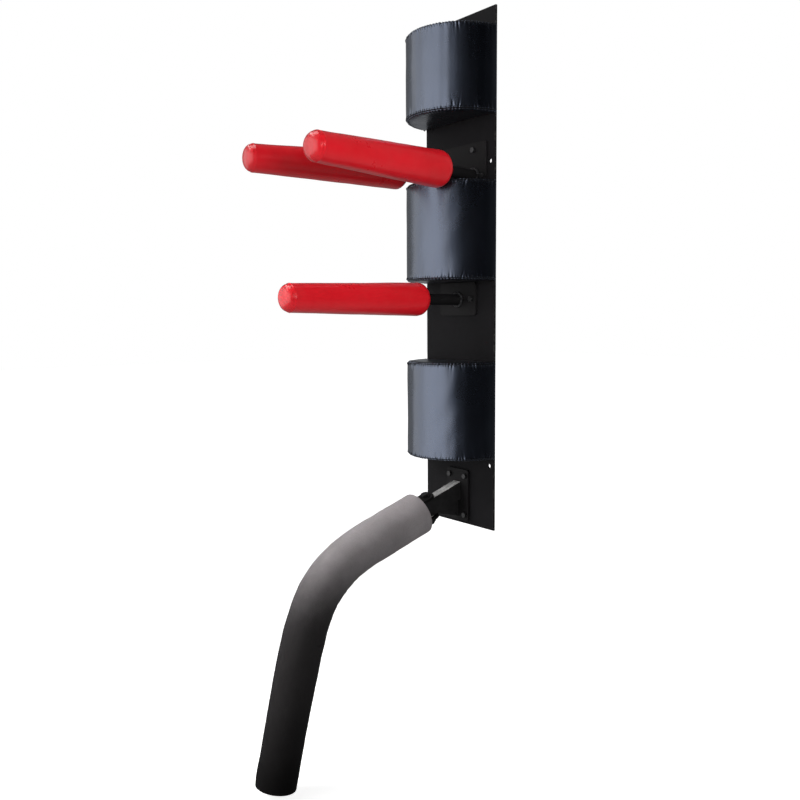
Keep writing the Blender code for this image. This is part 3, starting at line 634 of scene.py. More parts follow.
def cushion(name, h0, h1, seed):
    half, mid = (h1 - h0) / 2, (h0 + h1) / 2
    move = swelling(half)
    prefix = "cushion_" + name + "_"
    upper, lower = pleats(seed), pleats(seed + 50)
    lip = COVER_LIP_X
    edge = CUSHION_R - CORNER

    # the wrap: from one lip round the front to the other
    u = np.concatenate([
        np.linspace(OUT.back / 2 + lip, OUT.back, 8)[:-1],
        np.linspace(OUT.back, OUT.arc0, 7)[:-1],
        np.linspace(OUT.arc0, OUT.arc1, 345),
        np.linspace(OUT.arc1, OUT.length, 7)[1:],
    ])
    closing = np.linspace(0, OUT.back / 2 - lip, 8)[1:]
    rows, vlist = [], []
    rho0 = RIM
    tuck = [(0.0012, 0.0021), (0.0008, 0.0012), (0.0003, 0.0004)]     # inset and drop inside the seam
    zs = []
    wall = half - RIM
    dist = np.concatenate([np.arange(0.0011, 0.016, 0.0011), np.arange(0.018, wall, 0.0042)])
    dist = dist[dist < wall - 0.001]
    v_wall = np.concatenate([dist / (2 * wall), [0.5], 1 - dist[::-1] / (2 * wall)]) + 2.0
    v_rim = np.linspace(1, 2, 25)
    v_low = np.linspace(3, 4, 25)
    u_all = np.concatenate([u, closing])

    grain = lambda pts: wobble(pts, 0.070, seed + 9, 2)

    def skin(u_all, v, inset=0.0, drop=0.0):
        """The wrap's surface at the arc lengths u_all and place v, before it is put in the row's frame."""
        pts = cushion_point(u_all, v, half - SWELL_IN * 0.5, -SWELL_IN)
        m = move(u_all, v)
        pts = np.stack([pts[:, 0] + m[:, 0], pts[:, 1] - m[:, 1], pts[:, 2] + m[:, 2]], 1)
        p, n = OUT.at(u_all)
        rho = RIM * OUT.rim_scale(u_all)
        sign = -1.0 if v > 2.5 else 1.0
        w = 5.0 - v if v > 2.5 else v
        seam_d = rho * (SEAM_V - 1.0) * math.pi / 2
        if w <= 2.0:
            d = rho * (w - 1.0) * math.pi / 2
        else:
            d = rho * math.pi / 2 + (half - rho) * 2 * (w - 2.0)
        front = smooth((np.minimum(u_all - OUT.arc0, OUT.arc1 - u_all)) / 0.010)
        sink = gathered(u_all, d, upper if sign > 0 else lower, 0.00150) * front
        other = gathered(u_all, (half - rho) * 2 + rho * math.pi / 2 - d, lower if sign > 0 else upper, 0.00150) * front if w > 2.0 else 0.0
        soft = grain(pts * np.array((1, 1, 0.55))) * 0.00042 * front * smooth(d / 0.012)
        folds = wobble(np.stack([u_all, np.zeros_like(u_all), pts[:, 2] * 0.06], 1), 0.017, seed + 21, 1) * 0.00013 * front * (0.35 + 0.65 * np.exp(-((d - 0.006) / 0.040) ** 2))
        groove = -0.0017 * np.exp(-((d - seam_d) / 0.00085) ** 2) + 0.00045 * np.exp(-((d - seam_d - 0.0024) / 0.0013) ** 2)
        total = soft + folds - sink - other + groove * (0.35 + 0.65 * front)
        b = np.clip((w - 1.0), 0, 1) * math.pi / 2
        out_xy, out_z = math.sin(max(b, 0.35)), math.cos(max(b, 0.35))
        pts[:, 0] += n[:, 0] * total * out_xy
        pts[:, 1] += n[:, 1] * total * out_xy
        pts[:, 2] += sign * total * out_z
        if inset or drop:
            s = OUT.rim_scale(u_all)
            pts[:, 0] -= n[:, 0] * inset * s
            pts[:, 1] -= n[:, 1] * inset * s
            pts[:, 2] -= sign * drop * s
        pts[:, 1] = np.maximum(pts[:, 1], GAP * 0.9)
        return pts

    def finish_row(v, inset=0.0, drop=0.0):
        return to_row(skin(u_all, v, inset, drop), mid)

    for inset, drop in tuck:
        rows.append(finish_row(1.0, inset, drop))
    for v in v_rim:
        rows.append(finish_row(v))
    for v in v_wall:
        rows.append(finish_row(v))
    for v in v_low:
        rows.append(finish_row(v))
    for inset, drop in tuck[::-1]:
        rows.append(finish_row(4.0, inset, drop))
    verts = np.concatenate(rows)
    faces = grid_faces(len(rows), len(u_all))
    wrap = mesh_object(prefix + "leather_wrap", verts, faces, LEATHER, "frame", (prefix + "cover",))
    thicken(wrap, 0.0014)

    # the two D-shaped ends
    ue = np.concatenate([np.linspace(0, OUT.back, 60)[:-1], np.linspace(OUT.back, OUT.arc0, 6)[:-1], np.linspace(OUT.arc0, OUT.arc1, 300), np.linspace(OUT.arc1, OUT.length, 6)[1:-1]])
    for word, sign, places in (("upper", 1, upper), ("lower", -1, lower)):
        rows = []
        p, n = OUT.at(ue)
        s = OUT.rim_scale(ue)
        q = p - n * (RIM * s + SWELL_IN + 0.0016 * s)[:, None]
        reach = np.linalg.norm(q - PANEL_CENTRE, axis=1)
        steps = np.concatenate([[0.0, 0.0007, 0.0016, 0.0028, 0.0042, 0.006, 0.0082, 0.011, 0.0145, 0.019]])
        fractions = [1 - st / reach for st in steps] + [np.full(len(ue), 0.0) + (1 - 0.019 / reach) * k for k in (0.86, 0.72, 0.58, 0.44, 0.30, 0.16, 0.05)]
        for i, frac in enumerate(fractions):
            xy = PANEL_CENTRE + (q - PANEL_CENTRE) * np.asarray(frac)[:, None]
            d = reach * (1 - np.asarray(frac))
            m = move(ue, 1.0 - 0.999 * (1 - float(np.mean(frac)))) if sign > 0 else move(ue, 4.0 + 0.999 * (1 - float(np.mean(frac))))
            lift = np.clip(sign * m[:, 2], 0, 0.0016) * smooth(d / 0.012)
            z = half - 0.0021 * s * np.exp(-(d / 0.0019) ** 1.3) - 0.0004 + lift
            front = smooth((np.minimum(ue - OUT.arc0, OUT.arc1 - ue)) / 0.010)
            z -= gathered(ue, d * 1.0, places, 0.00050) * front
            flat = np.stack([xy[:, 0], xy[:, 1], np.full(len(ue), seed * 0.1)], 1)
            z += wobble(flat, 0.060, seed + 31, 2) * 0.00028 * smooth(d / 0.010)
            rows.append(to_row(np.stack([xy[:, 0], np.maximum(xy[:, 1], GAP * 1.2), sign * z], 1), mid))
        verts = np.concatenate(rows)
        n_u = len(ue)
        faces = grid_faces(len(rows), n_u, close_cols=True, flip=sign < 0)
        centre = np.concatenate([verts, verts[-n_u:].mean(0)[None]])
        last = (len(rows) - 1) * n_u
        for j in range(n_u):
            tri = (last + j, last + (j + 1) % n_u, len(centre) - 1)
            faces.append(tri[::-1] if sign < 0 else tri)
        end = mesh_object(prefix + word + "_end", centre, faces, LEATHER_END, "frame", (prefix + word + "_panel",))
        thicken(end, 0.0012)

    # whip stitches across the rims: short dark threads pulled down over the gathers
    for word, sign in (("upper", 1.0), ("lower", -1.0)):
        gen = np.random.default_rng(seed + (5 if sign > 0 else 6))
        starts = np.arange(OUT.arc0 + 0.012, OUT.arc1 - 0.012, 0.0056)
        starts = starts + gen.uniform(-0.0006, 0.0006, len(starts))
        lean = gen.uniform(-0.0006, 0.0010, len(starts))
        long = gen.uniform(0.0046, 0.0068, len(starts))
        seam_d = RIM * (SEAM_V - 1.0) * math.pi / 2
        steps = 9
        lines = []
        for k in range(steps):
            t = k / (steps - 1)
            d = seam_d + 0.0004 + t * float(long.mean())
            w = 1.0 + d / (RIM * math.pi / 2) if d < RIM * math.pi / 2 else 2.0 + (d - RIM * math.pi / 2) / (2 * wall)
            lines.append(skin(starts + lean * t, w if sign > 0 else 5.0 - w))
        lines = np.array(lines)
        # each thread has its own length: slide its points back towards the seam
        share = (long / long.mean())[None, :, None]
        lines = lines[:1] + (lines - lines[:1]) * np.minimum(share, 1.0)
        p, n = OUT.at(starts)
        verts, faces = [], []
        for j in range(len(starts)):
            path = lines[:, j, :].copy()
            lift = np.array([-0.0009, 0.0000, 0.00022, 0.00026, 0.00026, 0.00024, 0.0002, 0.0000, -0.0008])
            out = np.array((n[j, 0], n[j, 1], 0.35 * sign))
            out /= np.linalg.norm(out)
            path += lift[:, None] * out
            along = np.gradient(path, axis=0)
            along /= np.linalg.norm(along, axis=1)[:, None]
            side = np.cross(along, out)
            side /= np.linalg.norm(side, axis=1)[:, None]
            first = len(verts)
            for k in range(steps):
                r = 0.00048 * (0.6, 0.9, 1, 1, 1, 1, 1, 0.9, 0.6)[k]
                for t in range(8):
                    an = 2 * math.pi * t / 8
                    verts.append(path[k] + r * (math.cos(an) * out + math.sin(an) * side[k]))
            faces += grid_faces(steps, 8, close_cols=True, start=first)
            faces.append(tuple(first + t for t in range(8))[::-1])
            faces.append(tuple(first + (steps - 1) * 8 + t for t in range(8)))
        mesh_object(prefix + word + "_stitching", to_row(np.array(verts), mid), faces, THREAD, "frame")

    # black welt cord lying in each seam, twisted, from corner to corner
    for word, v_row in (("upper", SEAM_V), ("lower", 5.0 - SEAM_V)):
        us = np.linspace(OUT.arc0 + 0.002, OUT.arc1 - 0.002, 420)
        p, n = OUT.at(us)
        base = cushion_point(us, v_row, half - SWELL_IN * 0.5, -SWELL_IN)
        m = move(us, v_row)
        sign = 1.0 if word == "upper" else -1.0
        tilt = (SEAM_V - 1.0) * math.pi / 2
        normal = np.stack([n[:, 0] * math.sin(tilt), n[:, 1] * math.sin(tilt), np.full(len(us), sign * math.cos(tilt))], 1)
        centre = np.stack([base[:, 0] + m[:, 0], base[:, 1] - m[:, 1], base[:, 2] + m[:, 2]], 1) - normal * 0.00125
        along = np.gradient(centre, axis=0)
        along /= np.linalg.norm(along, axis=1)[:, None]
        side = np.cross(along, normal)
        verts = []
        for k in range(len(us)):
            for t in range(10):
                an = 2 * math.pi * t / 10
                r = 0.00078 * (1 + 0.10 * math.sin(2 * an + us[k] * 3600))
                verts.append(centre[k] + r * (math.cos(an) * normal[k] + math.sin(an) * side[k]))
        verts = to_row(np.array(verts), mid)
        faces = grid_faces(len(us), 10, close_cols=True)
        faces.append(tuple(range(10))[::-1])
        faces.append(tuple((len(us) - 1) * 10 + t for t in range(10)))
        mesh_object(prefix + word + "_welt", verts, faces, THREAD, "frame")

    # the foam layer between the wrap and the wooden core: cut foam, a little uneven
    lo_r, hi_r = CORE_R + 0.0005, CUSHION_R - 0.0034
    f0 = GAP + 0.0027
    fill = half - 0.0030
    section = []
    n_arc = 110
    for r, order in ((hi_r, 1), (lo_r, -1)):
        t0 = math.asin(f0 / r)
        ts = np.linspace(t0, math.pi - t0, n_arc)[::order]
        section += [(r * math.cos(t), r * math.sin(t)) for t in ts]
    section = np.array(section)
    z_rows = np.concatenate([[-fill, -fill + 0.0012], np.linspace(-fill + 0.004, fill - 0.004, 40), [fill - 0.0012, fill]])
    verts = []
    for z in z_rows:
        shrink = 0.0010 * max(0.0, 1 - (fill - abs(z)) / 0.0012)
        pts = section.copy()
        radius = np.linalg.norm(pts, axis=1)
        pts *= ((radius - shrink * np.where(np.arange(len(pts)) < n_arc, 1, -0.2)) / radius)[:, None]
        rough = wobble(np.stack([pts[:, 0], pts[:, 1], np.full(len(pts), z)], 1), 0.012, seed + 77, 2) * 0.00022
        rough = -np.abs(rough) * np.where(np.arange(len(pts)) < n_arc, 1, -1)
        pts *= ((radius + rough) / radius)[:, None]
        pts[:, 1] = np.maximum(pts[:, 1], f0)
        verts.append(to_row(np.stack([pts[:, 0], pts[:, 1], np.full(len(pts), z)], 1), mid))
    n_s = len(section)
    faces = grid_faces(len(z_rows), n_s, close_cols=True, flip=True)
    for base, flip in ((0, True), ((len(z_rows) - 1) * n_s, False)):
        for j in range(n_arc - 1):
            q = (base + j, base + j + 1, base + n_s - 2 - j, base + n_s - 1 - j)
            faces.append(q if flip else q[::-1])
    mesh_object(prefix + "foam_layer", np.concatenate(verts), faces, INNER_FOAM, "frame", (prefix + "foam",), sharp=50)


for i, (name, h0, h1) in enumerate(CUSHIONS):
    cushion(name, h0, h1, 11 + 3 * i)


# ------------------------------------------------------------------------------------------ arms
def arm_axes(x, h, splay):
    a = math.radians(splay)
    return world(x, 0, h), np.array((math.cos(a), math.sin(a), 0.0)), np.array((0.0, 0.0, 1.0)), np.array((math.sin(a), -math.cos(a), 0.0))


def sleeve_profile(s0, s1, r0, r1, inset, wall_rows, round_rows, mouth):
    """(radius, s, place) down a sleeve's skin: place is 0 at the mouth, 1 at the base shoulder, 2 at the tip shoulder, 3 at the tip."""
    b, t = SLEEVE_BASE_ROUND - inset, SLEEVE_TIP_ROUND - inset
    lo, hi, length = s0 + inset, s1 - inset, s1 - s0

    def wall(s):
        return r0 + (r1 - r0) * (s - s0) / length - inset

    out = []
    flat = wall(lo) - b
    if flat > mouth:
        for k in range(3):
            out.append((mouth + (flat - mouth) * k / 3, lo, 0.25 * k / 3))
    for k in range(round_rows + 1):
        a = math.pi / 2 * k / round_rows
        s = lo + b * (1 - math.cos(a))
        out.append((max(wall(s) - b * (1 - math.sin(a)), mouth), s, 0.25 + 0.75 * k / round_rows))
    a0, a1 = lo + b, hi - t
    for k in range(1, wall_rows):
        s = a0 + (a1 - a0) * k / wall_rows
        out.append((wall(s), s, 1 + k / wall_rows))
    for k in range(round_rows + 1):
        a = math.pi / 2 * k / round_rows
        s = a1 + t * math.sin(a)
        out.append((wall(s) - t * (1 - math.cos(a)), s, 2 + 0.8 * k / round_rows))
    tip = out[-1][0]
    for k in range(1, 7):
        out.append((tip * (1 - k / 6.3), hi, 2.8 + 0.2 * k / 6))
    return np.array(out)


def revolve(profile, sides, base, e1, e2, axis, bumps=None):
    angles = 2 * math.pi * np.arange(sides) / sides
    rows = []
    for i, (r, s) in enumerate(profile[:, :2]):
        rr = np.full(sides, r)
        ss = np.full(sides, s)
        if bumps is not None:
            rr = rr + bumps[0][i]
            ss = ss + bumps[1][i]
        rows.append(base + rr[:, None] * (np.cos(angles)[:, None] * e1 + np.sin(angles)[:, None] * e2) + ss[:, None] * axis)
    return np.concatenate(rows)


def arm(name, x, h, splay, s0, s1, r0, r1, seed):
    base, e1, e2, axis = arm_axes(x, h, splay)
    prefix = "arm_" + name + "_"
    mouth = POST_R + 0.0011
    swell = 0.0005

    # cloth on a coarse skin, then its movement carried to the fine one
    cs = 44
    coarse = sleeve_profile(s0, s1, r0, r1, swell, 34, 6, mouth)
    verts = revolve(coarse, cs, base, e1, e2, axis)
    faces = grid_faces(len(coarse), cs, close_cols=True, flip=True)
    faces.append(tuple((len(coarse) - 1) * cs + j for j in range(cs))[::-1])
    mid_row = len(coarse) // 2 * cs
    a, b, c = verts[list(faces[mid_row][:3])]
    if np.cross(b - a, c - a) @ (a - (base + axis * coarse[len(coarse) // 2][1])) < 0:
        faces = [f[::-1] for f in faces]
    place = np.repeat(coarse[:, 2], cs)
    pinned = (place < 0.3) | (np.abs(place - 1) < 0.02) | (np.abs(place - 2) < 0.02)
    moved = cloth_swell(verts, faces, pinned, 3.0, 16, 0.0012, 40.0).reshape(len(coarse), cs, 3)
    radial_dirs = np.cos(2 * math.pi * np.arange(cs) / cs)[:, None] * e1 + np.sin(2 * math.pi * np.arange(cs) / cs)[:, None] * e2
    puff = np.clip((moved * radial_dirs[None]).sum(2), 0, 0.0012)
    for _ in range(2):
        puff[1:-1] = (puff[:-2] + 2 * puff[1:-1] + puff[2:]) / 4
        puff = (np.roll(puff, 1, 1) + 2 * puff + np.roll(puff, -1, 1)) / 4

    sides = 112
    fine = sleeve_profile(s0, s1, r0, r1, 0.0, 110, 20, mouth)
    angles = 2 * math.pi * np.arange(sides) / sides
    rb, sb = [], []
    seam_angle = math.radians(-90)                            # a welded seam runs along the underside
    for r, s, pl in fine:
        row = np.array([np.interp(pl, coarse[:, 2], puff[:, j]) for j in range(cs)])
        ring = np.interp(angles, 2 * math.pi * np.arange(cs + 1) / cs, np.concatenate([row, row[:1]]))
        pts = base + r * (np.cos(angles)[:, None] * e1 + np.sin(angles)[:, None] * e2) + s * axis
        body = smooth((pl - 0.4) / 0.5) * (1 - smooth((pl - 2.5) / 0.5))
        lump = wobble(pts, 0.085, seed, 2) * 0.00026 * body + wobble(pts, 0.020, seed + 3, 1) * 0.00003 * body
        # the end cap is a separate moulding: a fine raised weld runs round its shoulder
        weld = 0.00060 * math.exp(-((pl - 2.06) / 0.030) ** 2) - 0.00035 * math.exp(-((pl - 2.16) / 0.035) ** 2)
        weld += 0.00050 * math.exp(-((pl - 0.80) / 0.045) ** 2) - 0.00030 * math.exp(-((pl - 0.66) / 0.05) ** 2)
        # gathers where the skin is drawn in round the post
        pucker = -0.0009 * np.abs(np.sin(angles * 11 + 0.6 * np.sin(angles * 3 + seed))) * math.exp(-(pl / 0.22) ** 2)
        off = (angles - seam_angle + math.pi) % (2 * math.pi) - math.pi
        along = 0.00045 * np.exp(-(off * r / 0.0016) ** 2) * body - 0.00030 * np.exp(-((np.abs(off) * r - 0.0034) / 0.0012) ** 2) * body
        radial = ring + lump + weld + along
        if pl < 0.25:
            rb.append(np.zeros(sides))
            sb.append(pucker * -1.0)
        elif pl > 2.8:
            rb.append(np.zeros(sides))
            sb.append(0.0008 * (1 - (r / 0.0077) ** 2) + lump * 0)
        else:
            tilt = min(1.0, max(0.0, (pl - 0.25) / 0.75)) if pl < 1 else 1.0
            rb.append(radial * tilt)
            sb.append(-pucker * (1 - tilt))
    verts = revolve(fine, sides, base, e1, e2, axis, (rb, sb))
    # the skin turns in at the mouth and runs a little way along the post
    hem = []
    for r, s in ((mouth, s0 + 0.0030), (mouth, s0 + 0.0012)):
        hem.append(base + r * (np.cos(angles)[:, None] * e1 + np.sin(angles)[:, None] * e2) + s * axis)
    verts = np.concatenate(hem + [verts])
    n_rows = len(fine) + 2
    faces = grid_faces(n_rows, sides, close_cols=True, flip=True)
    tip = verts[-sides:].mean(0) + axis * 0.00002
    verts = np.concatenate([verts, tip[None]])
    last = (n_rows - 1) * sides
    faces += [(last + (j + 1) % sides, last + j, len(verts) - 1) for j in range(sides)]
    if np.cross(verts[faces[mid_row][1]] - verts[faces[mid_row][0]], verts[faces[mid_row][2]] - verts[faces[mid_row][0]]) @ (verts[faces[mid_row][0]] - (base + axis * (s0 + s1) / 2)) < 0:
        faces = [f[::-1] for f in faces]
    sleeve = mesh_object(prefix + "vinyl_sleeve", verts, faces, REDS[name], "frame", (prefix + "sleeve",))
    thicken(sleeve, 0.0016)

    # foam tube inside
    def core_r(s):
        return ARM_CORE_BASE_R + (ARM_CORE_TIP_R - ARM_CORE_BASE_R) * (s - s0) / (s1 - s0)

    outer = sleeve_profile(s0, s1, r0, r1, SLEEVE_T + 0.0004, 60, 12, core_r(s0) + 0.0014)
    core_hi = s1 - 0.0150
    outer = outer[(outer[:, 0] > core_r(s0) + 0.0012) | (outer[:, 1] > (s0 + s1) / 2)]
    inner = np.array([(core_r(s) + 0.0004, s, 0.0) for s in np.linspace(core_hi + 0.0004, outer[0][1], 50)])
    profile = np.concatenate([outer, [(0.0016, outer[-1][1], 0)], [(0.0016, core_hi + 0.0006, 0)], inner])
    sides = 64
    angles = 2 * math.pi * np.arange(sides) / sides
    rb = []
    for i, (r, s, _) in enumerate(profile):
        pts = base + r * (np.cos(angles)[:, None] * e1 + np.sin(angles)[:, None] * e2) + s * axis
        rough = -np.abs(wobble(pts, 0.012, seed + 60, 2)) * 0.00025
        rb.append(rough if 0 < i < len(outer) - 4 else np.zeros(sides))
    verts = revolve(profile, sides, base, e1, e2, axis, (rb, [np.zeros(sides)] * len(profile)))
    faces = grid_faces(len(profile), sides, close_cols=True, flip=True)
    top = (len(profile) - 1) * sides
    faces += [(top + j, top + (j + 1) % sides, (j + 1) % sides, j)[::-1] for j in range(sides)]
    mesh_object(prefix + "foam_tube", verts, faces, INNER_FOAM, "frame", (prefix + "padding",), sharp=50)

    # rippled weld bead where the post meets its bracket
    verts, steps, ripples = [], 144, 20
    plate_f = 0.0043 + GAP * 2
    for k in range(steps):
        a = 2 * math.pi * k / steps
        out = math.cos(a) * e1 + math.sin(a) * e2
        size = 0.0027 + 0.00045 * math.sin(a * ripples) + 0.00025 * math.sin(a * 3 + seed)
        # foot of the bead lies on the plate, whatever the post's splay
        start = base + out * 0.0128
        shift = (plate_f - (-(start[1] + BOARD_T))) / (-axis[1])
        start = start + axis * shift
        for j in range(7):
            t = math.pi / 2 * j / 6
            verts.append(start + out * (size * math.cos(t) + 0.0002) + axis * (size * 1.15 * math.sin(t)))
        verts.append(start - out * 0.0016 + axis * size * 1.05)
        verts.append(start - out * 0.0016)
    faces = grid_faces(steps, 9, close_cols=True)
    faces += [((steps - 1) * 9 + j, (steps - 1) * 9 + (j + 1) % 9, (j + 1) % 9, j) for j in range(9)]
    weld = mesh_object(prefix + "weld_bead", verts, faces, WELD, "frame")


for i, spec in enumerate(ARMS):
    arm(*spec, seed=101 + 13 * i)


# ------------------------------------------------------------------------------------------- leg
def ramp(x, ease):
    if x <= 0:
        return 0.0
    return x * x / (2 * ease) if x < ease else x - ease / 2


def leg_turn(s):
    bent = ramp(s - LEG_BEND_START, LEG_BEND_EASE) - ramp(s - (LEG_BEND_END - LEG_BEND_EASE), LEG_BEND_EASE)
    turn = LEG_TURN * bent / (LEG_BEND_END - LEG_BEND_START - LEG_BEND_EASE)
    if s > LEG_BEND_END:
        turn += LEG_SAG * (s - LEG_BEND_END) / (LEG_LEN - LEG_BEND_END)
    return math.radians(turn)


def leg_stations(wanted):
    """(y, z, turn) in the pivot's frame at the given lengths along the foam's centre line."""
    y, z, s, found = -LEG_FOAM_START, 0.0, 0.0, []
    for w in wanted:
        while s < w - 1e-12:
            d = min(0.0005, w - s)
            a = leg_turn(s + d / 2)
            y -= math.cos(a) * d
            z -= math.sin(a) * d
            s += d
        found.append((y, z, leg_turn(w)))
    return found


def leg():
    pivot = Matrix.Translation(Vector(world(0, LEG_PIVOT_F, LEG_PIVOT_H))) @ Matrix.Rotation(math.radians(LEG_SLOPE), 4, "X")
    rot = np.array(pivot.to_3x3())
    origin = np.array(pivot.translation)
    sides = 104
    t = 2 * math.pi * (np.arange(sides) + 0.5) / sides
    lip = 0.0016
    lengths = np.concatenate([[0, 0.0003, 0.0009, lip], np.linspace(0.005, LEG_LEN - 0.005, 300), [LEG_LEN - lip, LEG_LEN - 0.0009, LEG_LEN - 0.0003, LEG_LEN]])
    line = leg_stations(lengths)

    def ring(i, radius):
        y, z, a = line[i]
        across, up = radius * np.cos(t), radius * np.sin(t)
        return np.stack([across, y - up * math.sin(a), z + up * math.cos(a)], 1)

    rows = []
    for i, s in enumerate(lengths):
        r = LEG_FOAM_R0 + (LEG_FOAM_R1 - LEG_FOAM_R0) * s / LEG_LEN
        edge = min(s, LEG_LEN - s)
        if edge < lip:
            r -= lip - math.sqrt(max(0.0, lip * lip - (lip - edge) ** 2))
        pts = ring(i, np.full(sides, r))
        calm = smooth(edge / 0.015)
        change = wobble(pts, 0.11, 301, 2) * 0.00060 * calm + wobble(pts, 0.030, 302, 2) * 0.00020 * calm
        # the bend squeezes the inner side into shallow folds
        inner = smooth((-np.sin(t) - 0.25) / 0.75)
        bend = math.exp(-((s - 0.245) / 0.075) ** 2)
        change += inner * bend * (0.00030 * math.sin(s * 2 * math.pi / 0.021) + 0.0002 * math.sin(s * 2 * math.pi / 0.013 + 1.0))
        # one short crease below the bend, on the right side
        at = np.exp(-(((t - math.radians(338) + math.pi) % (2 * math.pi) - math.pi) / 0.30) ** 4)
        lean = s - 0.352 - 0.004 * np.sin(t * 2)
        change -= at * (0.0016 * np.exp(-(lean / 0.0016) ** 2) - 0.00055 * np.exp(-((lean - 0.0040) / 0.0022) ** 2))
        rows.append(ring(i, r + change))
    outer = len(rows)
    for i in list(range(len(lengths)))[::-1][::3] + [0]:
        rows.append(ring(i, np.full(sides, LEG_BORE_R)))
    verts = np.concatenate(rows) @ rot.T + origin
    faces = grid_faces(len(rows), sides, close_cols=True)
    last = (len(rows) - 1) * sides
    faces += [(last + j, last + (j + 1) % sides, (j + 1) % sides, j) for j in range(sides)]
    # outward faces
    mid = outer // 2 * sides
    c = np.array([verts[mid:mid + sides].mean(0)])[0]
    f = faces[mid]
    if np.cross(verts[f[1]] - verts[f[0]], verts[f[2]] - verts[f[0]]) @ (verts[f[0]] - c) < 0:
        faces = [q[::-1] for q in faces]
    mesh_object("leg_foam_sleeve", verts, faces, LEG_FOAM, "leg", ("leg_foam",), sharp=60)


leg()


# -------------------------------------------------------------- finishes of the carried-over nodes
def finish_node(name, mat, bevel=None, angle=32):
    obj = nodes[name]
    obj.data.materials.clear()
    obj.data.materials.append(mat)
    for poly in obj.data.polygons:
        poly.material_index = 0
    weld = obj.modifiers.new("weld", "WELD")
    weld.merge_threshold = 0.00001
    if bevel:
        mod = obj.modifiers.new("bevel", "BEVEL")
        mod.width = bevel
        mod.segments = 2
        mod.limit_method = "ANGLE"
        mod.angle_limit = math.radians(angle)
        mod.use_clamp_overlap = True
    obj.data.shade_smooth()
    split = obj.modifiers.new("edges", "EDGE_SPLIT")
    split.split_angle = math.radians(angle)
    split.use_edge_sharp = False
    return obj


finish_node("back_board", BOARD_PAINT)
for plate in ("upper_arm_bracket", "middle_arm_bracket", "leg_bracket"):
    finish_node(plate, PLATE_PAINT)
for name in nodes:
    if "_bracket_bolt_" in name:
        finish_node(name, BOLT_STEEL)
    elif name.endswith("_post"):
        finish_node(name, POST_PAINT)
    elif name.endswith("_pin"):
        finish_node(name, ZINC)
    elif name.endswith("_screw"):
        finish_node(name, ZINC)
    elif name.startswith("cushion_") and name.endswith("_core"):
        finish_node(name, WOOD_UP)
    elif name.startswith("arm_") and name.endswith("_core"):
        finish_node(name, WOOD_OUT)
finish_node("leg_lug", LUG_STEEL)
finish_node("leg_fork", FORK_STEEL)
finish_node("leg_tube", POST_PAINT)
finish_node("leg_pivot_bolt", BOLT_STEEL)
finish_node("leg_pivot_nut", BOLT_STEEL)
finish_node("leg_upper_washer", NYLON)
finish_node("leg_lower_washer", NYLON)
finish_node("leg_end_plug", PLUG)


# ------------------------------------------------------------------------------ floor, light, camera
def floor():
    size, z = 14.0, cad_box[0][2] - 0.012
    mesh = bpy.data.meshes.new("floor")
    mesh.from_pydata([(-size, -size, z), (size, -size, z), (size, size, z), (-size, size, z)], [], [(0, 1, 2, 3)])
    s = Shader("pale_floor", Roughness=0.85, Specular_IOR_Level=0.1)
    s.colour(s.mix(s.noise(1.3, 3), (0.90, 0.90, 0.895), (0.93, 0.93, 0.925)))
    away = s.node("ShaderNodeVectorMath", {0: s.scaled((1, 1, 0))}, operation="LENGTH").outputs["Value"]
    s.p.inputs["Emission Color"].default_value = (1, 1, 1, 1)
    s.put(s.p.inputs["Emission Strength"], s.remap(away, 0.35, 2.2, 0.82, 1.0, "SMOOTHSTEP"))
    mesh.materials.append(s.mat)
    obj = bpy.data.objects.new("floor", mesh)
    scene.collection.objects.link(obj)
    obj.visible_glossy = False
    obj.visible_diffuse = False


def area(name, place, target, size_x, size_y, power, glossy=True, diffuse=True, spread=180):
    data = bpy.data.lights.new(name, "AREA")
    data.shape = "RECTANGLE"
    data.size, data.size_y = size_x, size_y
    data.energy = power
    data.spread = math.radians(spread)
    obj = bpy.data.objects.new(name, data)
    obj.location = place
    obj.rotation_euler = (Vector(target) - Vector(place)).to_track_quat("-Z", "Y").to_euler()
    scene.collection.objects.link(obj)
    obj.visible_camera = False
    obj.visible_glossy = glossy
    obj.visible_diffuse = diffuse
    return obj


def softbox(name, centre, width, level):
    """A tall box 3 m away that shows in glossy skins only: azimuths in degrees, 0 in front, positive to the right."""
    a, d, h = math.radians(centre), 3.0, 3.2
    w = 2 * d * math.tan(math.radians(width / 2))
    area(name, (d * math.sin(a), -d * math.cos(a), 0.1), (0, 0, 0.05), w, h, level * math.pi * w * h, True, False)


